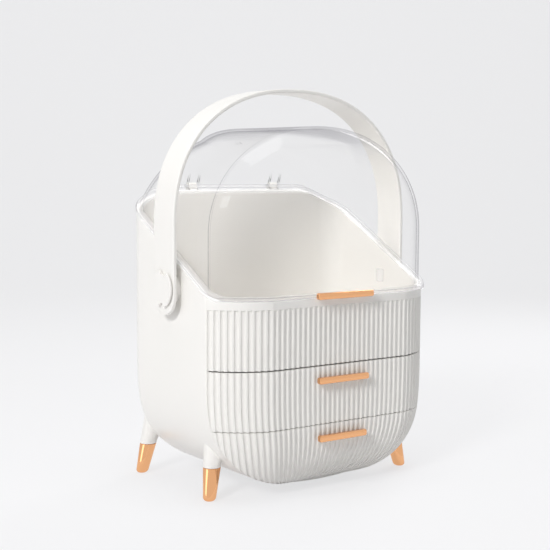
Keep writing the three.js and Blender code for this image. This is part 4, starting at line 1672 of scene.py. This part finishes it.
@dataclass(frozen=True)
class Lamp:
    """A soft lamp that faces the object."""

    name: str
    azimuth: float  # degrees from straight in front, positive to the left
    height: float  # of its middle, in metres
    size: tuple[float, float]  # width and height, in metres
    power: float  # in watts
    distance: float = 2.2  # metres from the object's middle, level with the floor
    mirrored: bool = False  # whether metal and clear plastic show the lamp itself

    def place(self, aim: float) -> None:
        """Adds the lamp to the scene.

        Args:
            aim: Height in metres of the point that it faces.
        """
        data = bpy.data.lights.new(self.name, "AREA")
        data.shape = "RECTANGLE"
        data.size, data.size_y = self.size
        data.energy = self.power
        item = bpy.data.objects.new(self.name, data)
        angle, far = math.radians(self.azimuth), self.distance
        item.location = Vector((-far * math.sin(angle), -far * math.cos(angle), self.height))
        direction = item.location - Vector((0.0, 0.0, aim))
        item.rotation_euler = direction.to_track_quat("Z", "Y").to_euler()
        item.visible_glossy = self.mirrored
        bpy.context.scene.collection.objects.link(item)


@dataclass
class Studio:
    """Pale floor, backdrop, soft lights and the camera at the photograph's angle.

    Lengths are in metres, but for the camera's place and lens, and angles are in degrees.
    """

    camera_mm: tuple[float, float, float] = (-652.2, -802.1, 288.1)
    azimuth: float = 35.69
    tilt: float = 5.205
    roll: float = 0.287
    lens: float = 77.24
    sensor: float = 36.0
    shift: tuple[float, float] = (0.0056, 0.0015)
    view_end: float = 20.0
    aim: float = 0.16
    half_floor: float = 6.0
    bend: float = 1.6
    curve: float = 0.8
    wall_top: float = 3.0
    curve_rows: int = 14
    level_rows: int = 7
    ambient: float = 0.30
    ambient_color: str = "#F4F5F6"
    floor_color: str = "#E8E8EA"
    floor_roughness: float = 0.7
    back_color: str = "#FBFBFC"
    sky_color: str = "#EDEDEE"
    glow_share: float = 0.7
    lamps: tuple[Lamp, ...] = (
        Lamp("key", 64.0, 1.4, (0.5, 0.5), 30.5),
        Lamp("window", 100.0, 0.75, (1.0, 1.5), 6.0, mirrored=True),
        Lamp("rim", -115.0, 0.9, (0.4, 0.6), 4.0, distance=1.1),
        Lamp("top", 0.0, 2.3, (1.2, 1.2), 19.0, distance=0.2),
    )

    def camera(self) -> None:
        """Places the camera."""
        data = bpy.data.cameras.new("camera")
        data.sensor_width = self.sensor
        data.lens = self.lens
        data.shift_x, data.shift_y = self.shift
        data.clip_end = self.view_end
        az, el, ro = (math.radians(v) for v in (self.azimuth, self.tilt, self.roll))
        level = np.array([math.cos(az), -math.sin(az), 0.0])
        ahead = [math.sin(az) * math.cos(el), math.cos(az) * math.cos(el), -math.sin(el)]
        upright = np.cross(level, ahead)
        right = level * math.cos(ro) + upright * math.sin(ro)
        up = upright * math.cos(ro) - level * math.sin(ro)
        place = np.eye(4)
        place[:3] = np.column_stack([right, up, -np.array(ahead), to_frame(self.camera_mm)])
        item = bpy.data.objects.new("camera", data)
        item.matrix_world = Matrix(place.tolist())
        bpy.context.scene.collection.objects.link(item)
        bpy.context.scene.camera = item

    def stage(self) -> None:
        """Adds the floor with a curved backdrop.

        The floor is level and its far end rises in a quarter circle.
        """
        turn = quarter(self.curve_rows)
        level = np.linspace(-self.half_floor, self.bend, self.level_rows + 1)[:-1]
        far = self.bend + self.curve * np.sin(turn)
        run = np.concatenate([level, far, far[-1:]])[:, None]
        rise = np.concatenate([0 * level, self.curve * (1 - np.cos(turn)), [self.wall_top]])
        across = np.array([-self.half_floor, self.half_floor])
        cos, sin = math.cos(math.radians(self.azimuth)), math.sin(math.radians(self.azimuth))
        x, y = across * cos + run * sin, run * cos - across * sin
        grid = np.stack([x, y, rise[:, None] + 0 * x], axis=-1)
        mesh = bpy.data.meshes.new("floor")
        mesh.from_pydata(grid.reshape(-1, 3), [], grid_faces(*grid.shape[:2]).tolist())
        mesh.shade_smooth()
        item = bpy.data.objects.new("floor", mesh)
        item.data.materials.append(self.board())
        bpy.context.scene.collection.objects.link(item)

    def seen(self, tree: Tree, share: float) -> Socket:
        """Share of the plain background that camera, glossy and transmission rays get.

        Args:
            tree: The node tree.
            share: Share for those rays; all other rays get none.

        Returns:
            The socket that gives it.
        """
        rays = add_node(tree, "ShaderNodeLightPath").outputs
        total = rays["Is Camera Ray"]
        for name in ("Is Glossy Ray", "Is Transmission Ray"):
            values = {"operation": "ADD", "use_clamp": True}
            step = add_node(tree, "ShaderNodeMath", values, {0: total, 1: rays[name]})
            total = step.outputs["Value"]
        values = {"operation": "MULTIPLY", 1: share}
        return add_node(tree, "ShaderNodeMath", values, {0: total}).outputs["Value"]

    def board(self) -> Material:
        """Matt painted board: pale and even to the eye, with the object's shadow kept.

        Returns:
            The material.
        """
        values = {"Base Color": linear(self.floor_color), "Roughness": self.floor_roughness}
        material, shader = Finish("matt painted board").start(values)
        tree = material.node_tree
        glow = add_node(tree, "ShaderNodeEmission", {"Color": linear(self.back_color)})
        share = self.seen(tree, self.glow_share)
        links = {0: share, 1: shader.outputs["BSDF"], 2: glow.outputs["Emission"]}
        mix = add_node(tree, "ShaderNodeMixShader", None, links)
        tree.links.new(mix.outputs["Shader"], tree.nodes["Material Output"].inputs["Surface"])
        return material

    def world(self) -> None:
        """Sets the soft surrounding light and the pale background that the eye sees."""
        world = bpy.data.worlds.new("studio")
        world.use_nodes = True
        tree = world.node_tree
        soft = tree.nodes["Background"]
        soft.inputs["Color"].default_value = linear(self.ambient_color)
        soft.inputs["Strength"].default_value = self.ambient
        pale = add_node(tree, "ShaderNodeBackground", {"Color": linear(self.sky_color)})
        seen = self.seen(tree, 1.0)
        links = {0: seen, 1: soft.outputs["Background"], 2: pale.outputs["Background"]}
        mix = add_node(tree, "ShaderNodeMixShader", None, links)
        tree.links.new(mix.outputs["Shader"], tree.nodes["World Output"].inputs["Surface"])
        bpy.context.scene.world = world

    def build(self) -> None:
        """Makes the studio."""
        self.camera()
        self.stage()
        self.world()
        for lamp in self.lamps:
            lamp.place(self.aim)
        bpy.context.scene.view_settings.view_transform = "Standard"


def main() -> None:
    """Builds the classes in order."""
    logging.basicConfig(level=logging.INFO, format="%(name)s: %(message)s")
    Studio().build()
    finishes = Finishes()
    fronts = FlutedFront(finishes)
    fronts.upper_panel()
    fronts.upper_drawer()
    fronts.lower_drawer()
    body = CaseBody(finishes)
    body.shell()
    body.ledges()
    body.knuckles()
    for node in ("compartment_floor", "drawer_shelf"):
        finishes.dress_node(node, Slot.TRAY)
    Legs(finishes).build()
    Drawers(finishes).build()
    lid = Lid(finishes)
    lid.build()
    lid.ears()
    Handle(finishes).build()


if __name__ == "__main__":
    main()
